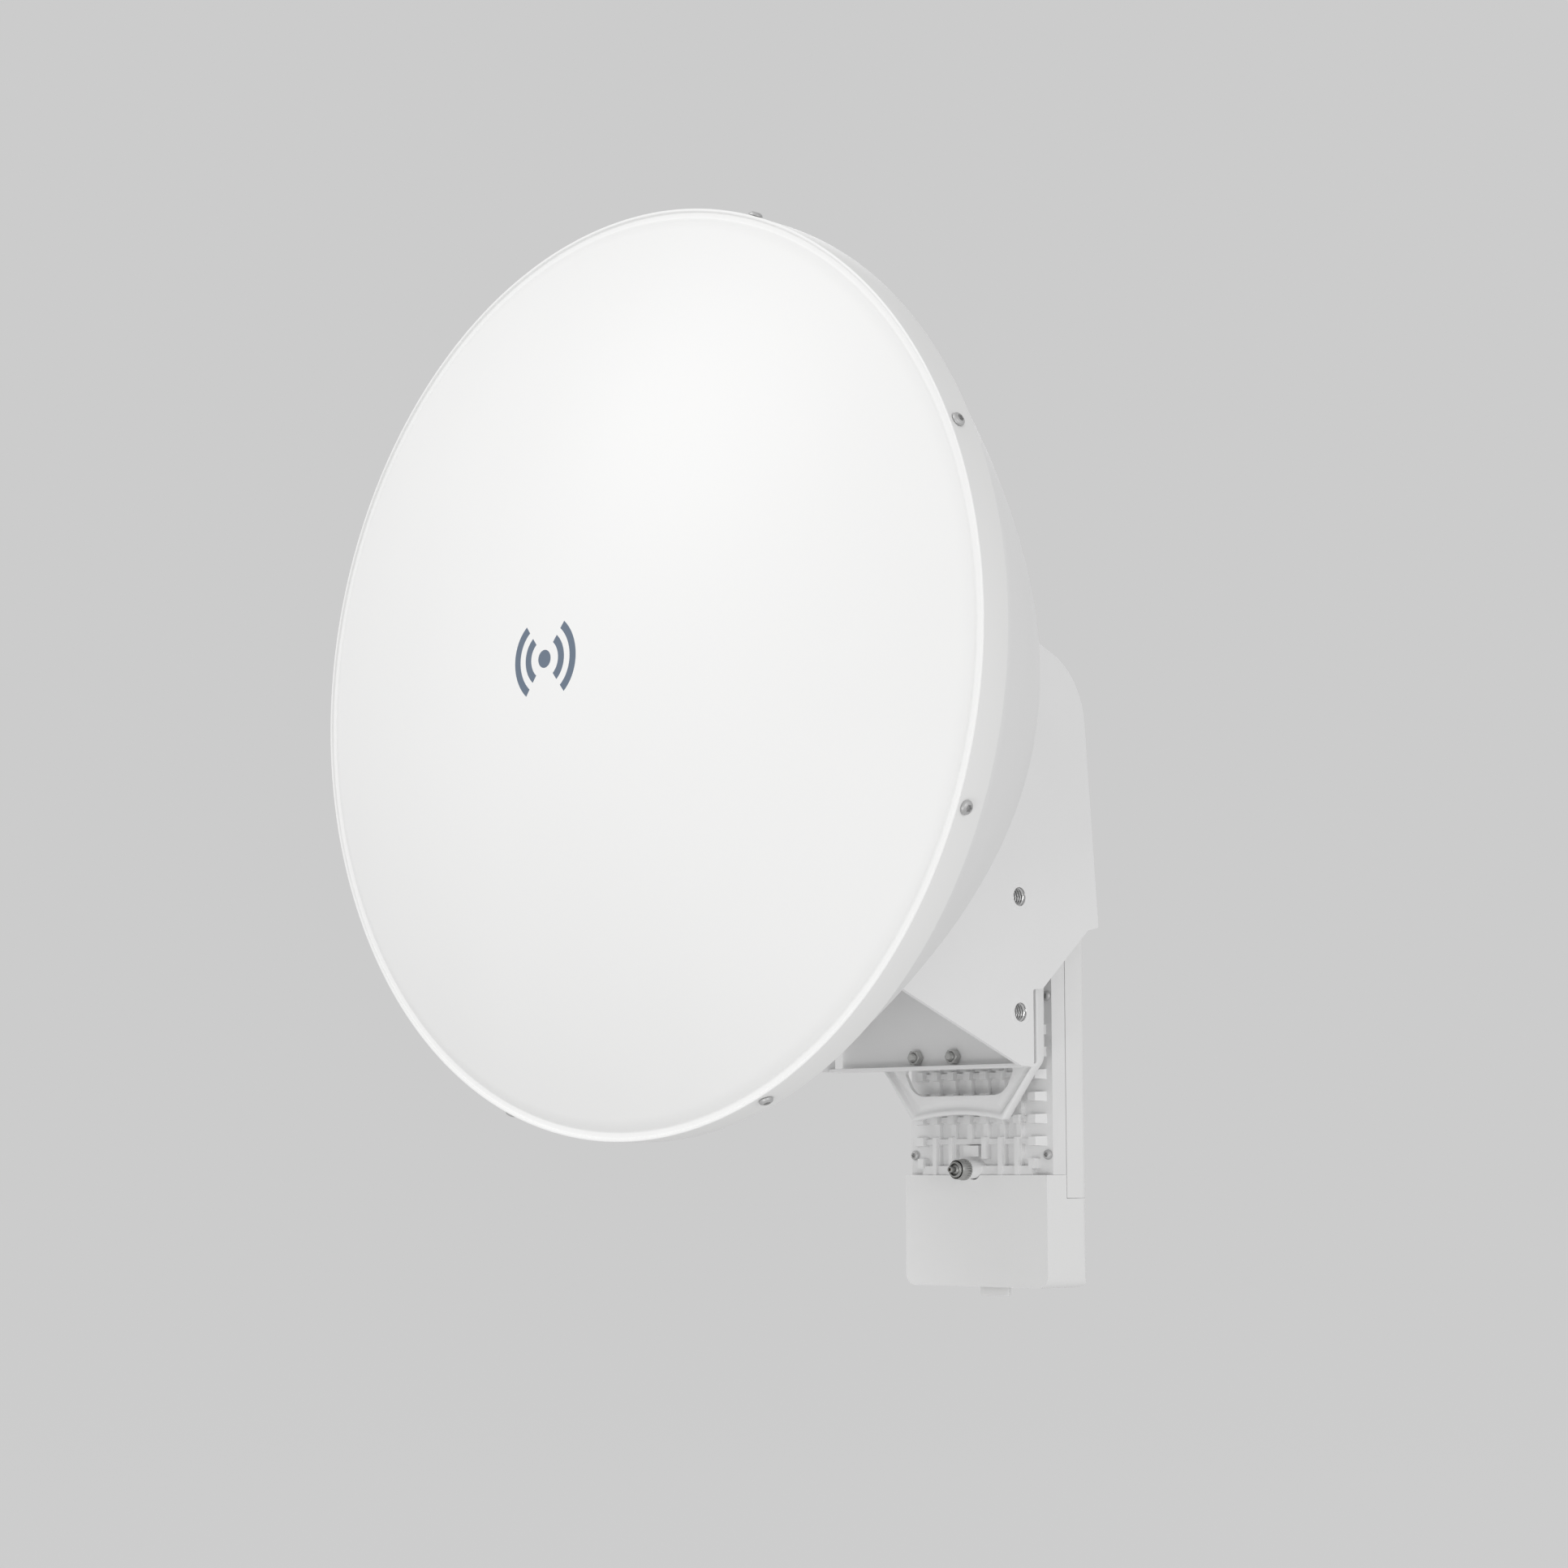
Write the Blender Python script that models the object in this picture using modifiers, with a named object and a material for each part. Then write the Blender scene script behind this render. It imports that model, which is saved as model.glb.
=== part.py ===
"""A small microwave dish: a spun reflector under a domed radome, a folded sheet-metal housing
behind it, and a slim radio unit that hangs on a cradle in that housing.

Metres, +Z up. Every piece hangs under one empty at the centre of the radome's rim, where +Y
points to the rear. The world origin lies midway between the two side walls, level with the
middle of the threaded seats that a pole bracket takes.
"""

from math import atan2, cos, hypot, pi, radians, sin, sqrt, tan

import bmesh
import bpy
from mathutils import Matrix, Vector

# The pole bracket's seats, in the rim's frame. Their midpoint is the world origin.
SEAT_Y = 0.180
SEAT_ZS = (-0.083, -0.1326)
ORIGIN = Vector((0, SEAT_Y, sum(SEAT_ZS) / 2))

GAP = 0.0003
RING_STEPS = 48

# Radome and reflector.
RIM_RADIUS = 0.189
SKIRT_DEPTH = 0.0145
SKIRT_WALL = 0.0022
BEAD_WIDTH = 0.0013
DOME_HEIGHT = 0.043
DOME_RADIUS = 0.1845
DOME_WALL = 0.0022
GROOVE_DEPTH = 0.0006
VERTEX_Y = 0.192
DISH_DEPTH = 0.1777
DISH_RADIUS = 0.188
DISH_POWER = 1.973
DISH_WALL = 0.0015
DISH_FLAT = 0.036
DISH_BORE = 0.0165
RIM_FLANGE_RADIUS = RIM_RADIUS - SKIRT_WALL - GAP
RIM_FLANGE_FRONT = 0.0023

# Radome screws, radial through the skirt.
RIM_SCREWS = 8
RIM_SCREW_Y = 0.0046
RIM_SCREW_FIRST = radians(21.5)

# Hub and feed.
HUB_RADIUS = 0.0275
HUB_BOLT_CIRCLE = 0.0215
FEED_RADIUS = 0.0158
FEED_FRONT_Y = 0.150
BLOCK_LOW = (-0.024, 0.1952, -0.010)
BLOCK_HIGH = (0.024, 0.2092, 0.010)
JACK_RADIUS = 0.0031
JACK_LENGTH = 0.008
FEED_PORT_X = 0.015
RADIO_PORT_X = 0.019
RADIO_PORT_Y = 0.2385
JUMPER_RADIUS = 0.0018

# Housing.
WALL_OUTER = 0.0588
SHEET = 0.002
WEB_FRONT = 0.1932
WEB_SHEET = 0.0016
WEB_TOP = 0.0245
WEB_BOTTOM = -0.1557
LIP_FRONT = 0.184
TOP_SLOPE = radians(20)
REAR_LEAN = radians(5.2)
ARC_CENTRE = (0.193, -0.006)
ARC_RADIUS = 0.034
HOOD_SHEET = 0.0016
HOOD_END = radians(26)

# Cradle.
CRADLE_FRONT = 0.2065
CRADLE_DEPTH = 0.005
CRADLE_SHEET = 0.002
CRADLE_RIM = 0.0022
FLOOR_FRONT = CRADLE_FRONT + 0.0015
CRADLE_HALF = 0.0465
CRADLE_TOP = -0.030
CRADLE_BOLT = (0.0109, -0.150)
HOOK_X = 0.024
HOOK_ZS = (-0.060, -0.130)

# Radio.
RADIO_HALF = 0.041
RADIO_TOP = -0.027
RADIO_BOTTOM = -0.251
RADIO_FRONT = 0.219
CASTING_FRONT = 0.2235
CASTING_REAR = 0.2323
RADIO_REAR = 0.250
SEAL_FRONT = CASTING_REAR + GAP
SEAL_REAR = 0.2334
COVER_FRONT = SEAL_REAR + GAP
CORNER = 0.005
CASTING_BOTTOM = -0.2016
REAR_COVER_BOTTOM = -0.2117
REAR_COVER_LEAN = 0.0022
SHELL = 0.002
PIN_PITCH_X = 0.0095
PIN_PITCH_Z = 0.0098
PIN_SIZE = 0.0044
PIN_WIDTH = 0.0040
FIN_WIDTH = 0.0024
PIN_ROWS = 12
PIN_LOWEST = -0.1868
EDGE_PIN_X = 0.0342
EDGE_PIN_WIDTH = 0.0072
RADIO_SCREW_X = 0.0385
RADIO_SCREW_ZS = (-0.123, -0.1928)
RIB_FRONT = 0.2212
RIB_WIDTH = 0.0030
CROSS_RIB_FRONT = 0.2216
CROSS_RIB_HALF = 0.0318
PLINTH_FRONT = 0.2203
PLINTH_TOP = -0.1976
GPS_X, GPS_Z = -0.0008, -0.1993
GPS_BOSS_FRONT = 0.2135
GPS_BOSS_RADIUS = 0.0040
BOARD_FRONT = 0.2290
BOARD_SHEET = 0.0016

# Which way a piece's own +Z points, as an Euler rotation.
POINTS = {
    "+X": (0, pi / 2, 0),
    "-X": (0, -pi / 2, 0),
    "+Y": (-pi / 2, 0, 0),
    "-Y": (pi / 2, 0, 0),
    "+Z": (0, 0, 0),
    "-Z": (pi, 0, 0),
}
# Outlines drawn in the YZ plane (thick along X) and in the XZ plane (thick along Y).
IN_YZ = (pi / 2, 0, pi / 2)
IN_XZ = (pi / 2, 0, 0)

for old in list(bpy.data.objects):
    bpy.data.objects.remove(old, do_unlink=True)
scene = bpy.context.scene
parts = bpy.data.collections.new("satellite_dish")
cutters = bpy.data.collections.new("cutters")
cutters.hide_render = True
scene.collection.children.link(parts)
scene.collection.children.link(cutters)

rim_centre = bpy.data.objects.new("rim_centre", None)
rim_centre.location = -ORIGIN
parts.objects.link(rim_centre)


def material(name, colour, roughness, metallic=0.0):
    made = bpy.data.materials.new(name)
    made.use_nodes = True
    shader = made.node_tree.nodes["Principled BSDF"]
    shader.inputs["Base Color"].default_value = (*colour, 1)
    shader.inputs["Roughness"].default_value = roughness
    shader.inputs["Metallic"].default_value = metallic
    return made


RADOME_WHITE = material("radome_white", (0.86, 0.86, 0.85), 0.45)
SHEET_WHITE = material("sheet_white", (0.78, 0.78, 0.77), 0.5)
CAST_WHITE = material("cast_white", (0.76, 0.76, 0.75), 0.55)
COVER_WHITE = material("cover_white", (0.80, 0.80, 0.79), 0.5)
STEEL = material("steel", (0.42, 0.41, 0.40), 0.35, 1.0)
BRASS = material("plated_brass", (0.52, 0.47, 0.36), 0.3, 1.0)
ALUMINIUM = material("aluminium", (0.62, 0.62, 0.62), 0.4, 1.0)
RUBBER = material("rubber", (0.05, 0.05, 0.05), 0.8)
DIELECTRIC = material("dielectric", (0.82, 0.80, 0.74), 0.5)
BOARD_GREEN = material("board_green", (0.04, 0.16, 0.08), 0.5)
DARK_PLASTIC = material("dark_plastic", (0.06, 0.06, 0.065), 0.5)
CABLE_BLACK = material("cable_black", (0.04, 0.04, 0.045), 0.55)


def keep(obj, name, finish, location=(0, 0, 0), rotation=(0, 0, 0)):
    """Makes an object a named part under the rim's empty."""
    obj.name = obj.data.name = name
    obj.data.materials.clear()
    obj.data.materials.append(finish)
    parts.objects.link(obj)
    obj.parent = rim_centre
    obj.location = location
    obj.rotation_euler = rotation
    return obj


def keep_cutter(obj, name, location=(0, 0, 0), rotation=(0, 0, 0)):
    """Makes an object a helper that shapes other pieces and isn't one itself."""
    obj.name = obj.data.name = name
    cutters.objects.link(obj)
    obj.parent = rim_centre
    obj.location = location
    obj.rotation_euler = rotation
    obj.hide_render = True
    obj.display_type = "WIRE"
    return obj


def mesh_object(bm):
    mesh = bpy.data.meshes.new("mesh")
    bmesh.ops.recalc_face_normals(bm, faces=bm.faces)
    bm.to_mesh(mesh)
    bm.free()
    return bpy.data.objects.new("object", mesh)


def add_box(bm, low, high):
    size = [high[i] - low[i] for i in range(3)]
    centre = [(high[i] + low[i]) / 2 for i in range(3)]
    matrix = Matrix.Translation(centre) @ Matrix.Diagonal((*size, 1))
    bmesh.ops.create_cube(bm, size=1, matrix=matrix)


def add_cylinder(bm, radius, low, high, at=(0, 0), points="+Z", sides=16, matrix=None):
    """A cylinder from low to high along its own +Z, at a place across that direction."""
    middle = Matrix.Translation((at[0], at[1], (low + high) / 2))
    turn = matrix if matrix is not None else rotation_of(points)
    bmesh.ops.create_cone(
        bm,
        cap_ends=True,
        segments=sides,
        radius1=radius,
        radius2=radius,
        depth=high - low,
        matrix=turn @ middle,
    )


def rotation_of(points):
    return Matrix.Rotation(POINTS[points][1], 4, "Y") @ Matrix.Rotation(
        POINTS[points][0], 4, "X"
    )


def box(low, high):
    bm = bmesh.new()
    add_box(bm, low, high)
    return mesh_object(bm)


def turned(profile, steps=24, closed=True):
    """A profile of (radius, height) points turned about Z. Its outer side runs downwards."""
    mesh = bpy.data.meshes.new("profile")
    count = len(profile)
    edges = [(i, i + 1) for i in range(count - 1)]
    if closed:
        edges.append((count - 1, 0))
    mesh.from_pydata([(r, 0, h) for r, h in profile], edges, [])
    obj = bpy.data.objects.new("turned", mesh)
    screw = obj.modifiers.new("turn", "SCREW")
    screw.steps = screw.render_steps = steps
    screw.use_merge_vertices = True
    screw.merge_threshold = 0.00001
    screw.use_smooth_shade = True
    return obj


def tube_profile(inner, outer, low, high):
    return [(inner, high), (outer, high), (outer, low), (inner, low)]


def realised(obj):
    """The object's evaluated mesh as a plain mesh, for a Boolean to read."""
    scene.collection.objects.link(obj)
    bpy.context.view_layer.update()
    evaluated = obj.evaluated_get(bpy.context.evaluated_depsgraph_get())
    mesh = bpy.data.meshes.new_from_object(evaluated)
    bpy.data.objects.remove(obj, do_unlink=True)
    bm = bmesh.new()
    bm.from_mesh(mesh)
    bmesh.ops.remove_doubles(bm, verts=bm.verts, dist=0.000001)
    bm.to_mesh(mesh)
    bm.free()
    return bpy.data.objects.new("object", mesh)


def arc(centre, radius, start, end, count):
    """Points on an arc, from one angle to another, in radians."""
    return [
        (
            centre[0] + radius * cos(start + (end - start) * i / count),
            centre[1] + radius * sin(start + (end - start) * i / count),
        )
        for i in range(count + 1)
    ]


def rounded(corners, count=4):
    """An outline from (x, y, radius) corners, each turned into an arc that meets both sides."""
    outline = []
    for i, (x, y, radius) in enumerate(corners):
        here = Vector((x, y))
        before = (Vector(corners[i - 1][:2]) - here).normalized()
        after = (Vector(corners[(i + 1) % len(corners)][:2]) - here).normalized()
        if radius == 0:
            outline.append((x, y))
            continue
        half = before.angle(after) / 2
        centre = here + (before + after).normalized() * radius / sin(half)
        start = here + before * radius / tan(half) - centre
        end = here + after * radius / tan(half) - centre
        turn = start.angle_signed(end)
        first = atan2(start.y, start.x)
        outline += arc(centre, radius, first, first - turn, count)
    return outline


def plate(outline, thickness):
    """A flat outline made solid, half its thickness to each side of its own XY plane."""
    curve = bpy.data.curves.new("outline", "CURVE")
    curve.dimensions = "2D"
    curve.fill_mode = "BOTH"
    curve.extrude = thickness / 2
    spline = curve.splines.new("POLY")
    spline.points.add(len(outline) - 1)
    for point, (x, y) in zip(spline.points, outline):
        point.co = (x, y, 0, 1)
    spline.use_cyclic_u = True
    return realised(bpy.data.objects.new("outline", curve))


def boolean(obj, other, operation="DIFFERENCE"):
    modifier = obj.modifiers.new(other.name, "BOOLEAN")
    modifier.operation = operation
    modifier.solver = "EXACT"
    modifier.object = other


def dish_outer_y(radius):
    """The back surface of the reflector: a deep bowl with a flat seat at its vertex."""
    radius = max(radius, DISH_FLAT)
    return VERTEX_Y - DISH_DEPTH * (radius / DISH_RADIUS) ** DISH_POWER


def dish_offset(radius, distance):
    """A point moved off the back surface at this radius, rearwards when distance is positive."""
    step = 0.0001
    slope = (dish_outer_y(radius + step) - dish_outer_y(radius - step)) / (2 * step)
    across = sqrt(1 + slope * slope)
    return radius - distance * slope / across, dish_outer_y(radius) + distance / across


# Radome and its gasket


def dome_y(radius, inset=0.0):
    """The dome's outer surface, or a surface inside it."""
    sag = DOME_HEIGHT
    sphere = (DOME_RADIUS**2 + sag**2) / (2 * sag)
    return sphere - sag - sqrt((sphere - inset) ** 2 - radius**2)


def make_radome():
    bands = 7
    radii = [DOME_RADIUS * i / bands for i in range(bands + 1)]
    skirt_inner = RIM_RADIUS - SKIRT_WALL
    inner = [(r * 0.985, dome_y(r * 0.985, DOME_WALL)) for r in radii]
    flange = [(skirt_inner, GROOVE_DEPTH + 0.0014), (skirt_inner, SKIRT_DEPTH)]
    skirt = [
        (RIM_RADIUS - 0.0004, SKIRT_DEPTH),
        (RIM_RADIUS, SKIRT_DEPTH - 0.0004),
        (RIM_RADIUS, 0.0004),
        (RIM_RADIUS - 0.0004, 0),
        (RIM_RADIUS - BEAD_WIDTH, 0),
        (RIM_RADIUS - BEAD_WIDTH - 0.0002, GROOVE_DEPTH),
        (DOME_RADIUS, GROOVE_DEPTH),
    ]
    outer = [(r, dome_y(r)) for r in reversed(radii)]
    obj = turned(inner + flange + skirt + outer, RING_STEPS, closed=False)
    keep(obj, "radome", RADOME_WHITE, rotation=POINTS["+Y"])
    boolean(obj, rim_screw_holes)


def make_gasket():
    low, high = GROOVE_DEPTH + 0.0014 + GAP, RIM_FLANGE_FRONT + 0.0030
    outer = RIM_FLANGE_RADIUS - DISH_WALL - GAP
    inner = outer - 0.0016
    profile = [(inner, high), (outer, high), (outer, low + 0.0006), (inner, low + 0.0006)]
    obj = turned(profile, RING_STEPS)
    keep(obj, "radome_gasket", RUBBER, rotation=POINTS["+Y"])


def make_rim_screw_holes():
    """Eight radial holes through the skirt and the reflector's rim, as one helper."""
    bm = bmesh.new()
    for i in range(RIM_SCREWS):
        turn = Matrix.Rotation(RIM_SCREW_FIRST + i * 2 * pi / RIM_SCREWS, 4, "Y")
        place = Matrix.Translation((0, RIM_SCREW_Y, 0)) @ turn
        add_cylinder(bm, 0.0018, 0.180, 0.195, sides=12, matrix=place)
    return keep_cutter(mesh_object(bm), "rim_screw_holes")


def make_rim_screws():
    head, shank = 0.0035, 0.0014
    base, top = RIM_RADIUS + GAP, RIM_RADIUS + 0.0024
    profile = [
        (0, top),
        (0.0018, top - 0.0001),
        (0.0030, top - 0.0009),
        (head, base + 0.0003),
        (head, base),
        (shank, base),
        (shank, base - 0.0040),
        (0, base - 0.0040),
    ]
    for i in range(RIM_SCREWS):
        angle = RIM_SCREW_FIRST + i * 2 * pi / RIM_SCREWS
        obj = turned(profile, 12, closed=False)
        name = f"radome_screw_{i + 1}"
        keep(obj, name, STEEL, (0, RIM_SCREW_Y, 0), (0, angle, 0))


# Reflector, hub and feed


def make_reflector():
    bands = 8
    span = RIM_FLANGE_RADIUS - DISH_FLAT
    radii = [DISH_FLAT + span * i / bands for i in range(bands + 1)]
    outer = [(DISH_BORE, dish_outer_y(0))] + [(r, dish_outer_y(r)) for r in radii]
    rim = [
        (RIM_FLANGE_RADIUS, RIM_FLANGE_FRONT),
        (RIM_FLANGE_RADIUS - DISH_WALL, RIM_FLANGE_FRONT),
        (RIM_FLANGE_RADIUS - DISH_WALL, dish_outer_y(RIM_FLANGE_RADIUS) - 0.002),
    ]
    inner = [dish_offset(r, -DISH_WALL) for r in reversed(radii[1:-1])]
    inner.append((DISH_FLAT - 0.0005, dish_outer_y(0) - DISH_WALL))
    inner.append((DISH_BORE, dish_outer_y(0) - DISH_WALL))
    obj = turned(outer + rim + inner, RING_STEPS)
    keep(obj, "reflector", SHEET_WHITE, rotation=POINTS["+Y"])
    boolean(obj, rim_screw_holes)
    boolean(obj, hub_bolt_holes)


def hub_bolt_places():
    for i in range(4):
        angle = pi / 4 + i * pi / 2
        yield HUB_BOLT_CIRCLE * cos(angle), HUB_BOLT_CIRCLE * sin(angle)


def make_hub_bolt_holes():
    bm = bmesh.new()
    for x, z in hub_bolt_places():
        add_cylinder(bm, 0.0028, 0.170, 0.1975, (x, -z), "+Y", 12)
    return keep_cutter(mesh_object(bm), "hub_bolt_holes")


def hexagon(across_flats):
    return [
        (across_flats / sqrt(3) * cos(i * pi / 3), across_flats / sqrt(3) * sin(i * pi / 3))
        for i in range(6)
    ]


def bolt(name, place, head_base, head_height, across, shank_radius, shank_end, points):
    """A hex-headed bolt. Its own +Z runs from the shank's end to the head's top."""
    head = plate(hexagon(across), head_height)
    bm = bmesh.new()
    bm.from_mesh(head.data)
    bmesh.ops.translate(bm, verts=bm.verts, vec=(0, 0, head_height / 2))
    obj = mesh_object(bm)
    bm = bmesh.new()
    add_cylinder(bm, shank_radius, shank_end - head_base, head_height / 2, sides=12)
    shank = keep_cutter(mesh_object(bm), name + "_shank", place, POINTS[points])
    keep(obj, name, STEEL, place, POINTS[points])
    boolean(obj, shank, "UNION")
    return obj


def make_hub():
    front = dish_outer_y(0) + GAP
    profile = tube_profile(DISH_BORE, HUB_RADIUS, front, WEB_FRONT - GAP)
    obj = turned(profile, 32)
    keep(obj, "hub_plate", ALUMINIUM, rotation=POINTS["+Y"])
    boolean(obj, hub_bolt_holes)
    head_base = WEB_FRONT + WEB_SHEET + GAP
    for i, (x, z) in enumerate(hub_bolt_places()):
        name = f"hub_bolt_{i + 1}"
        bolt(name, (x, head_base, z), head_base, 0.0035, 0.008, 0.0025, 0.1790, "+Y")


def make_feed():
    bore, front = 0.0128, FEED_FRONT_Y
    rear = WEB_FRONT + WEB_SHEET + 0.0001
    tube = [
        (0, rear),
        (FEED_RADIUS, rear),
        (FEED_RADIUS, front),
        (bore, front),
        (bore, rear - 0.004),
        (0, rear - 0.004),
    ]
    keep(turned(tube, 24, closed=False), "feed_tube", ALUMINIUM, rotation=POINTS["+Y"])
    cone = [
        (0, front - GAP),
        (0.0150, front - GAP),
        (0.0200, front - 0.0200),
        (0, front - 0.0200),
    ]
    keep(turned(cone, 24, closed=False), "feed_cone", DIELECTRIC, rotation=POINTS["+Y"])
    disc = [
        (0, front - 0.0203),
        (0.0215, front - 0.0203),
        (0.0215, front - 0.0223),
        (0, front - 0.0238),
    ]
    keep(turned(disc, 24, closed=False), "feed_disc", ALUMINIUM, rotation=POINTS["+Y"])
    keep(box(BLOCK_LOW, BLOCK_HIGH), "feed_block", ALUMINIUM)


def jack_profile():
    """A small threaded coaxial jack with a round base, open at its end."""
    bore = 0.0018
    return [
        (0, JACK_LENGTH - 0.003),
        (bore, JACK_LENGTH - 0.003),
        (bore, JACK_LENGTH),
        (JACK_RADIUS, JACK_LENGTH),
        (JACK_RADIUS, 0.0020),
        (0.0045, 0.0020),
        (0.0045, 0),
        (0, 0),
    ]


def nut_profile():
    """The coupling nut that draws a jumper onto its jack, with a clear hole for the cable."""
    return [
        (0.0022, 0.0098),
        (0.0040, 0.0098),
        (0.0045, 0.0092),
        (0.0045, 0.0032),
        (0.0034, 0.0032),
        (0.0034, 0.0086),
        (0.0022, 0.0086),
    ]


def jumper_route(side):
    """From the feed's jack rearwards, round a quarter turn, and down to the radio's jack."""
    lead = JACK_LENGTH + GAP
    y_start = BLOCK_HIGH[1] + GAP + lead
    z_end = RADIO_TOP + GAP + lead
    straight = 0.003
    y_bend, z_bend = y_start + straight, z_end + straight
    route = [(side * FEED_PORT_X, y_start, 0)]
    turns = 16
    for i in range(turns + 1):
        angle = pi / 2 * i / turns
        across = FEED_PORT_X + (RADIO_PORT_X - FEED_PORT_X) * i / turns
        y = y_bend + (RADIO_PORT_Y - y_bend) * sin(angle)
        z = z_bend * (1 - cos(angle))
        route.append((side * across, y, z))
    route.append((side * RADIO_PORT_X, RADIO_PORT_Y, z_end))
    return route


def make_jumper(side, hand):
    curve = bpy.data.curves.new("jumper", "CURVE")
    curve.dimensions = "3D"
    curve.bevel_depth = JUMPER_RADIUS
    curve.bevel_resolution = 2
    curve.use_fill_caps = True
    route = jumper_route(side)
    spline = curve.splines.new("POLY")
    spline.points.add(len(route) - 1)
    for point, place in zip(spline.points, route):
        point.co = (*place, 1)
    keep(bpy.data.objects.new("jumper", curve), f"jumper_{hand}", CABLE_BLACK)


def make_jumpers():
    for side, hand in ((-1, "left"), (1, "right")):
        feed = (side * FEED_PORT_X, BLOCK_HIGH[1] + GAP, 0)
        radio = (side * RADIO_PORT_X, RADIO_PORT_Y, RADIO_TOP + GAP)
        for end, place, points in (("feed", feed, "+Y"), ("radio", radio, "+Z")):
            jack = turned(jack_profile(), 12, closed=False)
            keep(jack, f"{end}_jack_{hand}", BRASS, place, POINTS[points])
            nut = turned(nut_profile(), 12)
            keep(nut, f"{end}_nut_{hand}", BRASS, place, POINTS[points])
        make_jumper(side, hand)


# Housing


def wall_outline():
    """The side wall's outline in the YZ plane. Its front runs inside the dish, to be cut."""
    slope, lean = tan(TOP_SLOPE), tan(REAR_LEAN)
    cy, cz = ARC_CENTRE
    start_y = cy + ARC_RADIUS * sin(TOP_SLOPE)
    start_z = cz + ARC_RADIUS * cos(TOP_SLOPE)
    top = [(0.100, start_z + (start_y - 0.100) * slope)]
    top += arc(ARC_CENTRE, ARC_RADIUS, pi / 2 - TOP_SLOPE, REAR_LEAN, 12)
    rear_y = top[-1][0] + (top[-1][1] + 0.0930) * lean
    rear = rounded(
        [
            (*top[-1], 0),
            (rear_y, -0.0932, 0.0012),
            (0.2275, -0.0948, 0.0015),
            (0.1953, -0.1219, 0.0008),
            (0.1887, -0.1225, 0.0008),
            (0.1887, -0.1555, 0.0015),
            (0.1805, -0.1555, 0.0010),
            (0.0900, -0.1209, 0),
        ],
        3,
    )
    return top[:-1] + rear


def make_dish_clearance():
    """The space the reflector fills, a little larger, which the walls and the hood follow."""
    clear = 0.0008
    bands = 24
    span = RIM_FLANGE_RADIUS - DISH_FLAT
    radii = [DISH_FLAT + span * i / bands for i in range(bands + 1)]
    edge = [dish_offset(r, clear) for r in radii]
    profile = [(0, dish_outer_y(0) + clear), *edge, (edge[-1][0], 0), (0, 0)]
    obj = realised(turned(profile, RING_STEPS, closed=False))
    return keep_cutter(obj, "dish_clearance", rotation=POINTS["+Y"])


def make_walls():
    holes = bmesh.new()
    for z in SEAT_ZS:
        add_cylinder(holes, 0.0052, -0.07, 0.07, (-z, SEAT_Y), "+X", 20)
    holes = keep_cutter(mesh_object(holes), "seat_holes")
    for side, hand in ((-1, "left"), (1, "right")):
        obj = plate(wall_outline(), SHEET)
        centre = (side * (WALL_OUTER - SHEET / 2), 0, 0)
        keep(obj, f"side_wall_{hand}", SHEET_WHITE, centre, IN_YZ)
        boolean(obj, dish_clearance)
        boolean(obj, holes)


def make_seats():
    """Threaded inserts pressed into the walls from inside, flush with the outer faces."""
    inner = WALL_OUTER - SHEET - GAP
    profile = [
        (0.0038, WALL_OUTER),
        (0.0049, WALL_OUTER),
        (0.0049, inner),
        (0.0070, inner),
        (0.0070, inner - 0.005),
        (0.0038, inner - 0.005),
    ]
    for side, points in ((-1, "-X"), (1, "+X")):
        for z, level in zip(SEAT_ZS, ("upper", "lower")):
            hand = "left" if side < 0 else "right"
            name = f"threaded_seat_{level}_{hand}"
            keep(turned(profile, 16), name, STEEL, (0, SEAT_Y, z), POINTS[points])


def make_web():
    """The cross web, its lower edge folded forwards into a lip."""
    rear = WEB_FRONT + WEB_SHEET
    bottom = WEB_BOTTOM
    outline = rounded(
        [
            (WEB_FRONT, WEB_TOP, 0),
            (WEB_FRONT, bottom + WEB_SHEET, 0.0012),
            (LIP_FRONT, bottom + WEB_SHEET, 0),
            (LIP_FRONT, bottom, 0),
            (rear, bottom, 0.0028),
            (rear, WEB_TOP, 0),
        ]
    )
    width = 2 * (WALL_OUTER - SHEET - GAP)
    obj = plate(outline, width)
    keep(obj, "web_plate", SHEET_WHITE, rotation=IN_YZ)
    holes = bmesh.new()
    add_cylinder(holes, DISH_BORE, 0.188, 0.1975, points="+Y", sides=24)
    for side in (-1, 1):
        at = (side * CRADLE_BOLT[0], -CRADLE_BOLT[1])
        add_cylinder(holes, 0.0023, 0.188, 0.1975, at, "+Y", 12)
    boolean(obj, keep_cutter(mesh_object(holes), "web_holes"))
    boolean(obj, hub_bolt_holes)


def make_hood():
    """A folded top sheet between the walls, flush with their upper edges."""
    slope = tan(TOP_SLOPE)
    outer_radius, inner_radius = ARC_RADIUS, ARC_RADIUS - HOOD_SHEET
    outer = arc(ARC_CENTRE, outer_radius, HOOD_END, pi / 2 - TOP_SLOPE, 8)
    inner = arc(ARC_CENTRE, inner_radius, pi / 2 - TOP_SLOPE, HOOD_END, 8)
    front_y = 0.140
    outline = outer + [(front_y, outer[-1][1] + (outer[-1][0] - front_y) * slope)]
    outline += [(front_y, inner[0][1] + (inner[0][0] - front_y) * slope)] + inner
    obj = plate(outline, 2 * (WALL_OUTER - SHEET - GAP))
    keep(obj, "top_cover", SHEET_WHITE, rotation=IN_YZ)
    boolean(obj, dish_clearance)


# Cradle


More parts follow.
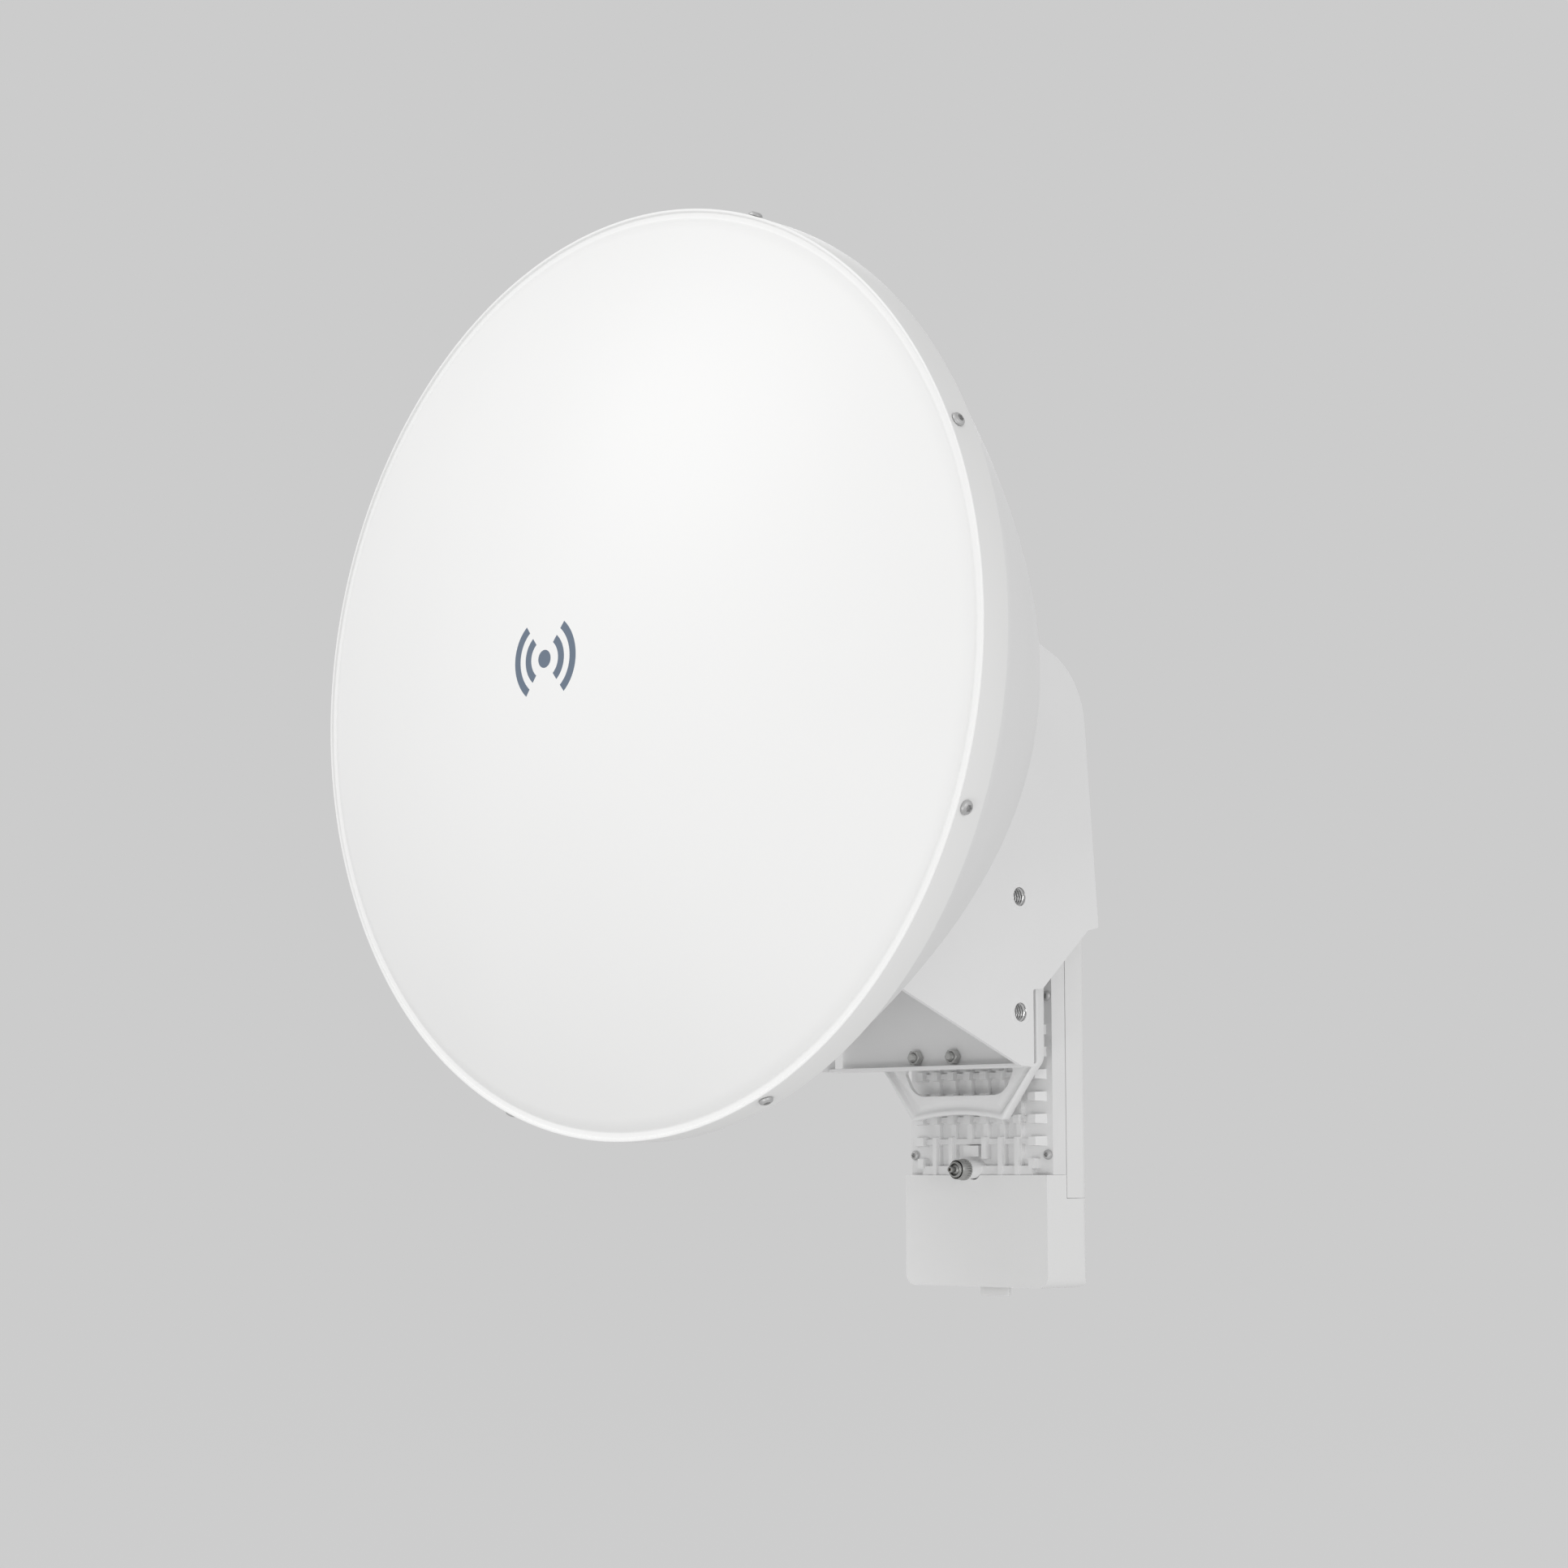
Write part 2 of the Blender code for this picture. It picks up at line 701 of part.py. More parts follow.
def cradle_outline(inset=0.0):
    half = CRADLE_HALF - inset
    top, bottom = CRADLE_TOP - inset, -0.1777 + inset
    waist, foot = 0.0415 - inset * 0.9, 0.0262 - inset * 0.6
    arch = []
    for i in range(9):
        across = 1 - 2 * (i + 1) / 10
        arch.append((foot * across, bottom + 0.0026 * (1 - across * across), 0))
    corners = [
        (half, top, 0.006),
        (-half, top, 0.006),
        (-half, -0.1520, 0.008),
        (-waist, -0.1575, 0.006),
        (-foot, bottom, 0.0015),
        *reversed(arch),
        (foot, bottom, 0.0015),
        (waist, -0.1575, 0.006),
        (half, -0.1520, 0.008),
    ]
    return rounded(corners, 3)


def make_cradle():
    middle = CRADLE_FRONT + CRADLE_DEPTH / 2
    obj = plate(cradle_outline(), CRADLE_DEPTH)
    keep(obj, "cradle", SHEET_WHITE, (0, middle, 0), IN_XZ)
    pocket = plate(cradle_outline(0.0018), CRADLE_DEPTH)
    rear = FLOOR_FRONT + CRADLE_SHEET + CRADLE_DEPTH / 2
    boolean(obj, keep_cutter(pocket, "cradle_pocket", (0, rear, 0), IN_XZ))
    recess = plate(cradle_outline(CRADLE_RIM), CRADLE_DEPTH)
    front = FLOOR_FRONT - CRADLE_DEPTH / 2
    boolean(obj, keep_cutter(recess, "cradle_recess", (0, front, 0), IN_XZ))
    bosses, holes = bmesh.new(), bmesh.new()
    for side in (-1, 1):
        at = (side * CRADLE_BOLT[0], -CRADLE_BOLT[1])
        low = WEB_FRONT + WEB_SHEET + GAP
        add_cylinder(bosses, 0.0037, low, FLOOR_FRONT + 0.001, at, "+Y", 16)
        add_cylinder(holes, 0.0023, 0.190, 0.215, at, "+Y", 12)
        for z in HOOK_ZS:
            add_cylinder(holes, 0.0036, 0.200, 0.215, (side * HOOK_X, -z), "+Y", 12)
            add_box(
                holes,
                (side * HOOK_X - 0.0035, 0.200, z + 0.0002),
                (side * HOOK_X + 0.0035, 0.215, z + 0.011),
            )
            head = (side * HOOK_X, -z - 0.012)
            add_cylinder(holes, 0.0065, 0.201, 0.214, head, "+Y", 16)
    boolean(obj, keep_cutter(mesh_object(bosses), "cradle_bosses"), "UNION")
    # The hooks' slots are cut by overlapping helpers, so they are first made one solid.
    boolean(obj, keep_cutter(mesh_object(holes), "cradle_holes"))
    obj.modifiers[-1].use_self = True
    window = rounded(
        [
            (0.0325, -0.1542, 0.002),
            (-0.0325, -0.1542, 0.002),
            (-0.0262, -0.1667, 0.010),
            (0.0262, -0.1667, 0.010),
        ],
        5,
    )
    window = plate(window, 0.02)
    boolean(obj, keep_cutter(window, "cradle_window", (0, CRADLE_FRONT, 0), IN_XZ))
    make_cradle_fasteners()


def make_cradle_fasteners():
    rear_face = FLOOR_FRONT + CRADLE_SHEET + GAP
    for side, hand in ((-1, "left"), (1, "right")):
        x, z = side * CRADLE_BOLT[0], CRADLE_BOLT[1]
        screw = [
            (0, rear_face + 0.0018),
            (0.0036, rear_face + 0.0012),
            (0.0036, rear_face),
            (0.0019, rear_face),
            (0.0019, 0.1885),
            (0.0012, 0.1880),
            (0, 0.1880),
        ]
        obj = turned(screw, 16, closed=False)
        keep(obj, f"cradle_screw_{hand}", STEEL, (x, 0, z), POINTS["+Y"])
        bm = bmesh.new()
        add_cylinder(bm, 0.0023, -0.01, 0.01, sides=12)
        bore = mesh_object(bm)
        place = (x, WEB_FRONT - GAP - 0.0016, z)
        bore = keep_cutter(bore, f"cradle_nut_bore_{hand}", place, POINTS["+Y"])
        nut = plate(hexagon(0.007), 0.0032)
        keep(nut, f"cradle_nut_{hand}", STEEL, place, POINTS["+Y"])
        boolean(nut, bore)


# Radio


def rounded_box_outline(left, right, low, high, radius, count=4):
    corners = [
        (right, high, radius),
        (left, high, radius),
        (left, low, radius),
        (right, low, radius),
    ]
    return rounded(corners, count)


def pin_columns():
    half = PIN_PITCH_X / 2
    return [side * (half + i * PIN_PITCH_X) for i in range(3) for side in (-1, 1)]


def make_heatsink():
    """The front casting: a shallow tray, open at its foot, with pins standing off its face."""
    outline = rounded(
        [
            (RADIO_HALF, RADIO_TOP, CORNER),
            (-RADIO_HALF, RADIO_TOP, CORNER),
            (-RADIO_HALF, CASTING_BOTTOM, 0),
            (RADIO_HALF, CASTING_BOTTOM, 0),
        ]
    )
    depth = CASTING_REAR - CASTING_FRONT
    middle = (CASTING_REAR + CASTING_FRONT) / 2
    obj = plate(outline, depth)
    keep(obj, "heatsink", CAST_WHITE, (0, middle, 0), IN_XZ)

    root = CASTING_FRONT + 0.001
    ribs = bmesh.new()
    for x in pin_columns():
        foot = PIN_LOWEST if abs(x) < PIN_PITCH_X else PIN_LOWEST - 0.0105
        top = PIN_LOWEST + (PIN_ROWS - 1) * PIN_PITCH_Z
        add_box(ribs, (x - RIB_WIDTH / 2, RIB_FRONT, foot), (x + RIB_WIDTH / 2, root, top))
    add_box(ribs, (-0.0070, 0.2195, -0.1935), (0.0017, root, -0.1886))
    boolean(obj, keep_cutter(mesh_object(ribs), "heatsink_ribs"), "UNION")
    cross_ribs = bmesh.new()
    for row in range(PIN_ROWS):
        z = PIN_LOWEST + row * PIN_PITCH_Z
        low = (-CROSS_RIB_HALF, CROSS_RIB_FRONT, z - RIB_WIDTH / 2 + 0.0002)
        high = (CROSS_RIB_HALF, root, z + RIB_WIDTH / 2 - 0.0002)
        add_box(cross_ribs, low, high)
    boolean(obj, keep_cutter(mesh_object(cross_ribs), "heatsink_cross_ribs"), "UNION")
    plinth = box(
        (-CROSS_RIB_HALF, PLINTH_FRONT, CASTING_BOTTOM), (CROSS_RIB_HALF, root, PLINTH_TOP)
    )
    boolean(obj, keep_cutter(plinth, "heatsink_plinth"), "UNION")
    boss = bmesh.new()
    add_cylinder(boss, GPS_BOSS_RADIUS, GPS_BOSS_FRONT, root, (GPS_X, -GPS_Z), "+Y", 20)
    boolean(obj, keep_cutter(mesh_object(boss), "heatsink_boss"), "UNION")
    pins = bmesh.new()
    for x in pin_columns():
        for row in range(PIN_ROWS):
            z = PIN_LOWEST + row * PIN_PITCH_Z
            low, high = z - PIN_SIZE / 2, z + PIN_SIZE / 2
            half = PIN_WIDTH / 2
            if row == 0:
                half = FIN_WIDTH / 2
                low = CASTING_BOTTOM
                if abs(x) < PIN_PITCH_X:
                    low = -0.1945
                    if x < 0:
                        continue
            if near_hook(x, z):
                continue
            add_box(pins, (x - half, RADIO_FRONT, low), (x + half, root, high))
    for side in (-1, 1):
        for row in range(-1, PIN_ROWS):
            z = PIN_LOWEST + row * PIN_PITCH_Z
            x = side * EDGE_PIN_X
            half = EDGE_PIN_WIDTH / 2
            if min(abs(z - screw_z) for screw_z in RADIO_SCREW_ZS) < 0.0056:
                x, half = side * 0.0322, 0.0016
            low, high = z - PIN_SIZE / 2, z + PIN_SIZE / 2
            add_box(pins, (x - half, RADIO_FRONT, low), (x + half, root, high))
    boolean(obj, keep_cutter(mesh_object(pins), "heatsink_pins"), "UNION")

    for side, hand in ((-1, "left"), (1, "right")):
        for z, level in zip(HOOK_ZS, ("upper", "lower")):
            hook = [
                (0, CASTING_FRONT + 0.001),
                (0.0048, CASTING_FRONT + 0.001),
                (0.0048, FLOOR_FRONT + CRADLE_SHEET + GAP),
                (0.0031, FLOOR_FRONT + CRADLE_SHEET + GAP),
                (0.0031, FLOOR_FRONT - GAP),
                (0.0056, FLOOR_FRONT - GAP),
                (0.0056, FLOOR_FRONT - 0.0022),
                (0, FLOOR_FRONT - 0.0022),
            ]
            solid = realised(turned(hook, 14, closed=False))
            name = f"hook_{level}_{hand}"
            place = (side * HOOK_X, 0, z)
            boolean(obj, keep_cutter(solid, name, place, POINTS["+Y"]), "UNION")

    inside = RADIO_HALF - SHELL
    cavity = box(
        (-inside + 0.006, CASTING_FRONT + 0.0023, CASTING_BOTTOM - 0.01),
        (inside - 0.006, CASTING_REAR + 0.01, RADIO_TOP - SHELL),
    )
    boolean(obj, keep_cutter(cavity, "casting_cavity"))
    holes = bmesh.new()
    for side in (-1, 1):
        for z in RADIO_SCREW_ZS:
            add_cylinder(holes, 0.0014, 0.21, 0.2290, (side * RADIO_SCREW_X, -z), "+Y", 12)
    add_cylinder(holes, 0.0032, 0.21, 0.24, (GPS_X, -GPS_Z), "+Y", 16)
    boolean(obj, keep_cutter(mesh_object(holes), "casting_holes"))


def near_hook(x, z):
    return min(hypot(abs(x) - HOOK_X, z - hook_z) for hook_z in HOOK_ZS) < 0.008


def make_radio_screws():
    base = CASTING_FRONT - GAP
    profile = [
        (0, 0.0016),
        (0.0012, 0.0016),
        (0.0021, 0.0010),
        (0.0022, 0),
        (0.0011, 0),
        (0.0011, -0.004),
        (0, -0.004),
    ]
    for side, hand in ((-1, "left"), (1, "right")):
        for z, level in zip(RADIO_SCREW_ZS, ("upper", "lower")):
            obj = turned(profile, 12, closed=False)
            place = (side * RADIO_SCREW_X, base, z)
            keep(obj, f"radio_screw_{level}_{hand}", STEEL, place, POINTS["-Y"])


def make_rear_cover():
    """A shallow shell over the radio's back, with rounded edges, open to the front."""
    depth = RADIO_REAR - COVER_FRONT
    outline = rounded(
        [
            (RADIO_HALF, RADIO_TOP, CORNER),
            (-RADIO_HALF, RADIO_TOP, CORNER),
            (-RADIO_HALF, REAR_COVER_BOTTOM, 0),
            (RADIO_HALF, REAR_COVER_BOTTOM, 0),
        ]
    )
    flat = plate(outline, depth)
    obj = keep(flat, "radio_cover", COVER_WHITE, (0, COVER_FRONT + depth / 2, 0), IN_XZ)
    round_rear = rear_rounding(REAR_COVER_BOTTOM - 0.01, RADIO_TOP + 0.01)
    cut_edges = keep_cutter(round_rear, "rear_cover_edges")
    boolean(obj, cut_edges, "INTERSECT")
    lean = [
        (0.22, -0.30),
        (RADIO_REAR, -0.30),
        (RADIO_REAR, REAR_COVER_BOTTOM),
        (RADIO_REAR - REAR_COVER_LEAN, RADIO_TOP),
        (RADIO_REAR - REAR_COVER_LEAN, 0),
        (0.22, 0),
    ]
    boolean(obj, keep_cutter(plate(lean, 0.2), "rear_cover_lean", (0, 0, 0), IN_YZ), "INTERSECT")
    inside = box(
        (-RADIO_HALF + SHELL, COVER_FRONT - 0.01, REAR_COVER_BOTTOM + SHELL),
        (RADIO_HALF - SHELL, RADIO_REAR - 0.0045, RADIO_TOP - SHELL),
    )
    boolean(obj, keep_cutter(inside, "rear_cover_inside"))


def rear_rounding(low, high):
    """A long bar whose section has the radio's rounded rear corners."""
    radius = 0.006
    outline = rounded(
        [
            (-RADIO_HALF, RADIO_FRONT - 0.01, 0),
            (RADIO_HALF, RADIO_FRONT - 0.01, 0),
            (RADIO_HALF, RADIO_REAR, radius),
            (-RADIO_HALF, RADIO_REAR, radius),
        ],
        5,
    )
    solid = plate(outline, high - low)
    solid.data.transform(Matrix.Translation((0, 0, (high + low) / 2)))
    return solid


def make_seal():
    width = 0.0016
    outer = rounded_box_outline(
        -RADIO_HALF + 0.0006, RADIO_HALF - 0.0006, -0.2010, RADIO_TOP - 0.0006, CORNER - 0.0006
    )
    obj = plate(outer, SEAL_REAR - SEAL_FRONT)
    middle = (SEAL_REAR + SEAL_FRONT) / 2
    keep(obj, "radio_seal", RUBBER, (0, middle, 0), IN_XZ)
    inside = box(
        (-RADIO_HALF + 0.0006 + width, 0.22, -0.2010 + width),
        (RADIO_HALF - 0.0006 - width, 0.24, RADIO_TOP - 0.0006 - width),
    )
    boolean(obj, keep_cutter(inside, "seal_inside"))
    slot = box((-0.031, 0.22, -0.21), (0.031, 0.24, -0.19))
    boolean(obj, keep_cutter(slot, "seal_slot"))


def make_electronics():
    board_rear = BOARD_FRONT + BOARD_SHEET
    keep(
        box((-0.030, BOARD_FRONT, -0.2260), (0.030, board_rear, -0.0320)),
        "circuit_board",
        BOARD_GREEN,
    )
    jack_front, jack_rear = board_rear + GAP, board_rear + GAP + 0.0135
    for name, x in (("data_jack", -0.0175), ("management_jack", 0.0175)):
        jack = box((x - 0.008, jack_front, -0.2290), (x + 0.008, jack_rear, -0.2135))
        socket = box(
            (x - 0.006, jack_front + 0.003, -0.2400),
            (x + 0.006, jack_rear - 0.0025, -0.2160),
        )
        keep(jack, name, ALUMINIUM)
        boolean(jack, keep_cutter(socket, name + "_socket"))
    housing = box((-0.0035, jack_front, -0.2240), (0.0035, jack_front + 0.006, -0.2180))
    keep(housing, "reset_switch", DARK_PLASTIC)
    bm = bmesh.new()
    add_cylinder(bm, 0.0019, -0.0062, 0.0022, sides=12)
    place = (0, jack_front + 0.003, -0.2240)
    boolean(housing, keep_cutter(mesh_object(bm), "reset_bore", place, POINTS["-Z"]))
    button = [(0, 0.0025), (0.0013, 0.0025), (0.0016, 0.0022), (0.0016, -0.0006), (0, -0.0006)]
    obj = turned(button, 12, closed=False)
    keep(obj, "reset_button", DARK_PLASTIC, place, POINTS["-Z"])


def make_gps_port():
    barrel, hole, nose, contact = 0.0035, 0.0027, 0.0013, 0.0007
    foot = GPS_BOSS_FRONT - GAP
    length, tip = 0.0078, 0.0109
    profile = [
        (0, tip - 0.003),
        (contact, tip - 0.003),
        (contact, tip),
        (nose, tip),
        (nose, length - 0.0025),
        (hole, length - 0.0025),
        (hole, length),
        (barrel - 0.0003, length),
        (barrel, length - 0.0004),
        (barrel, 0),
        (0.0028, 0),
        (0.0028, -0.015),
        (0, -0.015),
    ]
    place = (GPS_X, foot, GPS_Z)
    keep(turned(profile, 20, closed=False), "gps_port", BRASS, place, POINTS["-Y"])
    ring = tube_profile(0.0038, 0.0048, 0.0003, 0.0063)
    keep(turned(ring, 24), "gps_ring", BRASS, place, POINTS["-Y"])


def make_port_cover():
    """A cup over the radio's foot. Its front rises a little higher than its rear."""
    depth = RADIO_REAR - RADIO_FRONT
    top = CASTING_BOTTOM - GAP
    outline = rounded(
        [
            (RADIO_HALF, top, 0),
            (-RADIO_HALF, top, 0),
            (-RADIO_HALF, RADIO_BOTTOM, CORNER),
            (RADIO_HALF, RADIO_BOTTOM, CORNER),
        ]
    )
    obj = plate(outline, depth)
    keep(obj, "port_cover", COVER_WHITE, (0, RADIO_FRONT + depth / 2, 0), IN_XZ)
    section = keep_cutter(rear_rounding(RADIO_BOTTOM - 0.01, top + 0.01), "port_cover_edges")
    boolean(obj, section, "INTERSECT")
    heel = rounded(
        [
            (0.20, RADIO_BOTTOM, 0),
            (RADIO_REAR, RADIO_BOTTOM, CORNER),
            (RADIO_REAR, -0.19, 0),
            (0.20, -0.19, 0),
        ]
    )
    heel = keep_cutter(plate(heel, 0.2), "port_cover_heel", (0, 0, 0), IN_YZ)
    boolean(obj, heel, "INTERSECT")
    step_top = REAR_COVER_BOTTOM - GAP
    step = box((-0.05, CASTING_REAR + GAP, step_top), (0.05, 0.26, -0.19))
    boolean(obj, keep_cutter(step, "port_cover_step"))
    inside = box(
        (-RADIO_HALF + SHELL, RADIO_FRONT + SHELL, RADIO_BOTTOM + SHELL),
        (RADIO_HALF - SHELL, RADIO_REAR - SHELL - 0.0006, -0.19),
    )
    boolean(obj, keep_cutter(inside, "port_cover_inside"))
    notch = bmesh.new()
    add_cylinder(notch, GPS_BOSS_RADIUS + 0.0005, 0.21, 0.2222, (GPS_X, -GPS_Z), "+Y", 20)
    boolean(obj, keep_cutter(mesh_object(notch), "port_cover_notch"))
    floor_holes = bmesh.new()
    add_box(floor_holes, (-0.0092, 0.2300, -0.26), (0.0092, 0.2360, -0.245))
    for side in (-1, 1):
        low, high = sorted((side * 0.0125, side * 0.0285))
        add_box(floor_holes, (low, 0.2350, -0.26), (high, 0.2440, -0.245))
    boolean(obj, keep_cutter(mesh_object(floor_holes), "port_cover_floor_holes"))


def make_latch():
    """A spring tongue that reaches through the cup's floor, ending in a finger tab."""
    outline = rounded(
        [
            (0.0082, -0.2400, 0.001),
            (-0.0082, -0.2400, 0.001),
            (-0.0082, -0.2555, 0.001),
            (0.0082, -0.2555, 0.001),
        ],
        2,
    )
    tab = plate(outline, 0.0022)
    tab.data.transform(Matrix.Translation((0, 0.250, 0)))
    keep(tab, "cover_latch", COVER_WHITE, (0, 0.233, -0.250), IN_XZ)


rim_screw_holes = make_rim_screw_holes()
hub_bolt_holes = make_hub_bolt_holes()
dish_clearance = make_dish_clearance()
make_radome()
make_gasket()
make_rim_screws()
make_reflector()
make_hub()
make_feed()
make_jumpers()
make_walls()
make_seats()
make_web()
make_hood()
make_cradle()
make_heatsink()
make_radio_screws()
make_rear_cover()
make_seal()
make_electronics()
make_gps_port()
make_port_cover()
make_latch()
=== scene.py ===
from math import atan2, cos, pi, radians, sin, sqrt, tan

import bmesh
import bpy
from mathutils import Matrix, Vector


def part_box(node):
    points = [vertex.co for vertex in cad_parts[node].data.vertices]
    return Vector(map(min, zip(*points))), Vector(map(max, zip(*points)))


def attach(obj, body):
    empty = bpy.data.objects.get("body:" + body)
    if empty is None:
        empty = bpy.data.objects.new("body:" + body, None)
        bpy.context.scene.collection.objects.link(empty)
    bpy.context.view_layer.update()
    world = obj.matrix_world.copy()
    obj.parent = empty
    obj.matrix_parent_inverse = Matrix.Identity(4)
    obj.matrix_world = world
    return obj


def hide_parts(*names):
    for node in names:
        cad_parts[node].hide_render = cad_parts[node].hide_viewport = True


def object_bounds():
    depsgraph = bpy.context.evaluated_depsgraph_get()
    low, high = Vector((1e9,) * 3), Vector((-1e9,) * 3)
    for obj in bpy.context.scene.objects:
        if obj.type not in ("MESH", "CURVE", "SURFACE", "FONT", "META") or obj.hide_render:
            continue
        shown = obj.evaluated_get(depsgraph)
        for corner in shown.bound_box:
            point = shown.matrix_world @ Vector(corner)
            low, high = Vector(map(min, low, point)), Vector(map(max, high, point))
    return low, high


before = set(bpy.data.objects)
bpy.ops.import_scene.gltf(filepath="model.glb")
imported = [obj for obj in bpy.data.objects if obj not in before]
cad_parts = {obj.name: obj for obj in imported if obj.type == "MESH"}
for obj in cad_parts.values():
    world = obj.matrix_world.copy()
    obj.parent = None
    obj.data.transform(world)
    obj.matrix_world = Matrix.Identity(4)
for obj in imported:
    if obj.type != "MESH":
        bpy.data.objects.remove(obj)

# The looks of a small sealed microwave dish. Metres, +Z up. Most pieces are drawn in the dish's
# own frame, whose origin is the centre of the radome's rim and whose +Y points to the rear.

cad_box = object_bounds()

# Driving sizes, as the CAD model has them.
DOME_HEIGHT = 0.043
DOME_RADIUS = 0.1845
BEAD_WIDTH = 0.0011
GROOVE_DEPTH = 0.0008
DISH_WALL = 0.0015
DISH_FLAT = 0.036
DISH_BORE = 0.0165
DISH_DEPTH = 0.1777
DISH_RADIUS = 0.188
DISH_POWER = 1.973
RIM_SCREW_Y = 0.0046
RIM_SCREWS = 8
RIM_SCREW_FIRST = radians(21.5)
CRADLE_BOLT = (0.0109, -0.150)
JUMPER_RADIUS = 0.0018

# Sizes and places that the frame gives.
radome_low, radome_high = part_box("radome")
reflector_low, reflector_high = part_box("reflector")
RIM_RADIUS = (radome_high.x - radome_low.x) / 2
RIM = Vector((0, radome_low.y + DOME_HEIGHT, (radome_low.z + radome_high.z) / 2))
SKIRT_DEPTH = radome_high.y - RIM.y
VERTEX_Y = reflector_high.y - RIM.y + DISH_DEPTH * (DISH_FLAT / DISH_RADIUS) ** DISH_POWER
FLANGE_RADIUS = (reflector_high.x - reflector_low.x) / 2
FLANGE_FRONT = reflector_low.y - RIM.y

# Which way a piece's own +Z points.
POINTS = {
    "+X": Matrix.Rotation(pi / 2, 4, "Y"),
    "-X": Matrix.Rotation(-pi / 2, 4, "Y"),
    "+Y": Matrix.Rotation(-pi / 2, 4, "X"),
    "-Y": Matrix.Rotation(pi / 2, 4, "X"),
    "+Z": Matrix.Identity(4),
    "-Z": Matrix.Rotation(pi, 4, "X"),
}


# Camera, light and floor

CAMERA_PLACE = (0.8926, -1.0307, -0.0956)
CAMERA_TURN = (radians(97.296), 0, radians(43.357))
CAMERA_LENS = 70.81
BACKDROP = 0.604
FLOOR_DROP = 0.30
FLOOR_ALBEDO = 0.03


def make_camera():
    data = bpy.data.cameras.new("camera")
    data.lens = CAMERA_LENS
    data.sensor_width = 36
    data.clip_start = 0.05
    data.clip_end = 100
    camera = bpy.data.objects.new("camera", data)
    camera.location = CAMERA_PLACE
    camera.rotation_euler = CAMERA_TURN
    bpy.context.scene.collection.objects.link(camera)
    bpy.context.scene.camera = camera


def make_world():
    world = bpy.data.worlds.new("studio")
    world.use_nodes = True
    sky = world.node_tree.nodes["Background"]
    sky.inputs["Color"].default_value = (BACKDROP, BACKDROP, BACKDROP, 1)
    sky.inputs["Strength"].default_value = 1.0
    bpy.context.scene.world = world
    bpy.context.scene.view_settings.view_transform = "Standard"


def make_light(name, place, target, size, power):
    data = bpy.data.lights.new(name, "AREA")
    data.shape = "DISK"
    data.size = size
    data.energy = power
    light = bpy.data.objects.new(name, data)
    light.location = place
    direction = Vector(target) - Vector(place)
    light.rotation_euler = direction.to_track_quat("-Z", "Y").to_euler()
    light.visible_camera = False
    bpy.context.scene.collection.objects.link(light)


def make_floor():
    """A plain floor far below. It glows a little, so that it meets the backdrop unseen."""
    bm = bmesh.new()
    bmesh.ops.create_grid(bm, x_segments=1, y_segments=1, size=40)
    mesh = bpy.data.meshes.new("floor")
    bm.to_mesh(mesh)
    bm.free()
    floor = bpy.data.objects.new("floor", mesh)
    floor.location.z = cad_box[0].z - FLOOR_DROP
    paint = bpy.data.materials.new("floor")
    paint.use_nodes = True
    shader = paint.node_tree.nodes["Principled BSDF"]
    shader.inputs["Base Color"].default_value = (FLOOR_ALBEDO,) * 3 + (1,)
    shader.inputs["Roughness"].default_value = 1.0
    shader.inputs["Specular IOR Level"].default_value = 0.0
    glow = BACKDROP * (1 - FLOOR_ALBEDO)
    shader.inputs["Emission Color"].default_value = (glow, glow, glow, 1)
    shader.inputs["Emission Strength"].default_value = 1.0
    mesh.materials.append(paint)
    bpy.context.scene.collection.objects.link(floor)


make_camera()
make_world()
# Name, place, target, size in metres and power in watts.
make_light("key", (-1.2, -2.4, 1.9), (0, -0.1, 0.02), 1.8, 39)
make_light("low", (0.35, -0.9, -0.33), (0, 0.02, -0.06), 0.2, 1.1)
make_light("fill", (2.8, -0.7, 0.2), (0, 0, -0.05), 1.4, 14)
make_light("back", (-1.6, 1.9, 1.4), (0, 0, 0), 1.2, 9)
make_floor()


# Materials


def socket(tree, target, value):
    if isinstance(value, (int, float, tuple)):
        target.default_value = value
    else:
        tree.links.new(value, target)


def calc(tree, operation, *values):
    node = tree.nodes.new("ShaderNodeMath")
    node.operation = operation
    for target, value in zip(node.inputs, values):
        socket(tree, target, value)
    return node.outputs[0]


def noise(tree, place, scale, detail=2.0, stretch=None):
    if stretch:
        mapping = tree.nodes.new("ShaderNodeMapping")
        mapping.inputs["Scale"].default_value = stretch
        tree.links.new(place, mapping.inputs["Vector"])
        place = mapping.outputs["Vector"]
    node = tree.nodes.new("ShaderNodeTexNoise")
    node.inputs["Scale"].default_value = scale
    node.inputs["Detail"].default_value = detail
    tree.links.new(place, node.inputs["Vector"])
    return node.outputs["Fac"]


def spread(tree, value, low, high, start=0.3, end=0.7):
    """Maps a noise value onto a range."""
    node = tree.nodes.new("ShaderNodeMapRange")
    for name, number in (("From Min", start), ("From Max", end), ("To Min", low), ("To Max", high)):
        node.inputs[name].default_value = number
    tree.links.new(value, node.inputs["Value"])
    return node.outputs["Result"]


def mixed(tree, factor, first, second):
    node = tree.nodes.new("ShaderNodeMix")
    node.data_type = "RGBA"
    socket(tree, node.inputs[0], factor)
    socket(tree, node.inputs[6], first)
    socket(tree, node.inputs[7], second)
    return node.outputs[2]


ROUGHNESS_DRIFT = 0.03
COAT_ROUGHNESS = 0.25
SPECK_START, SPECK_END = 0.62, 0.72


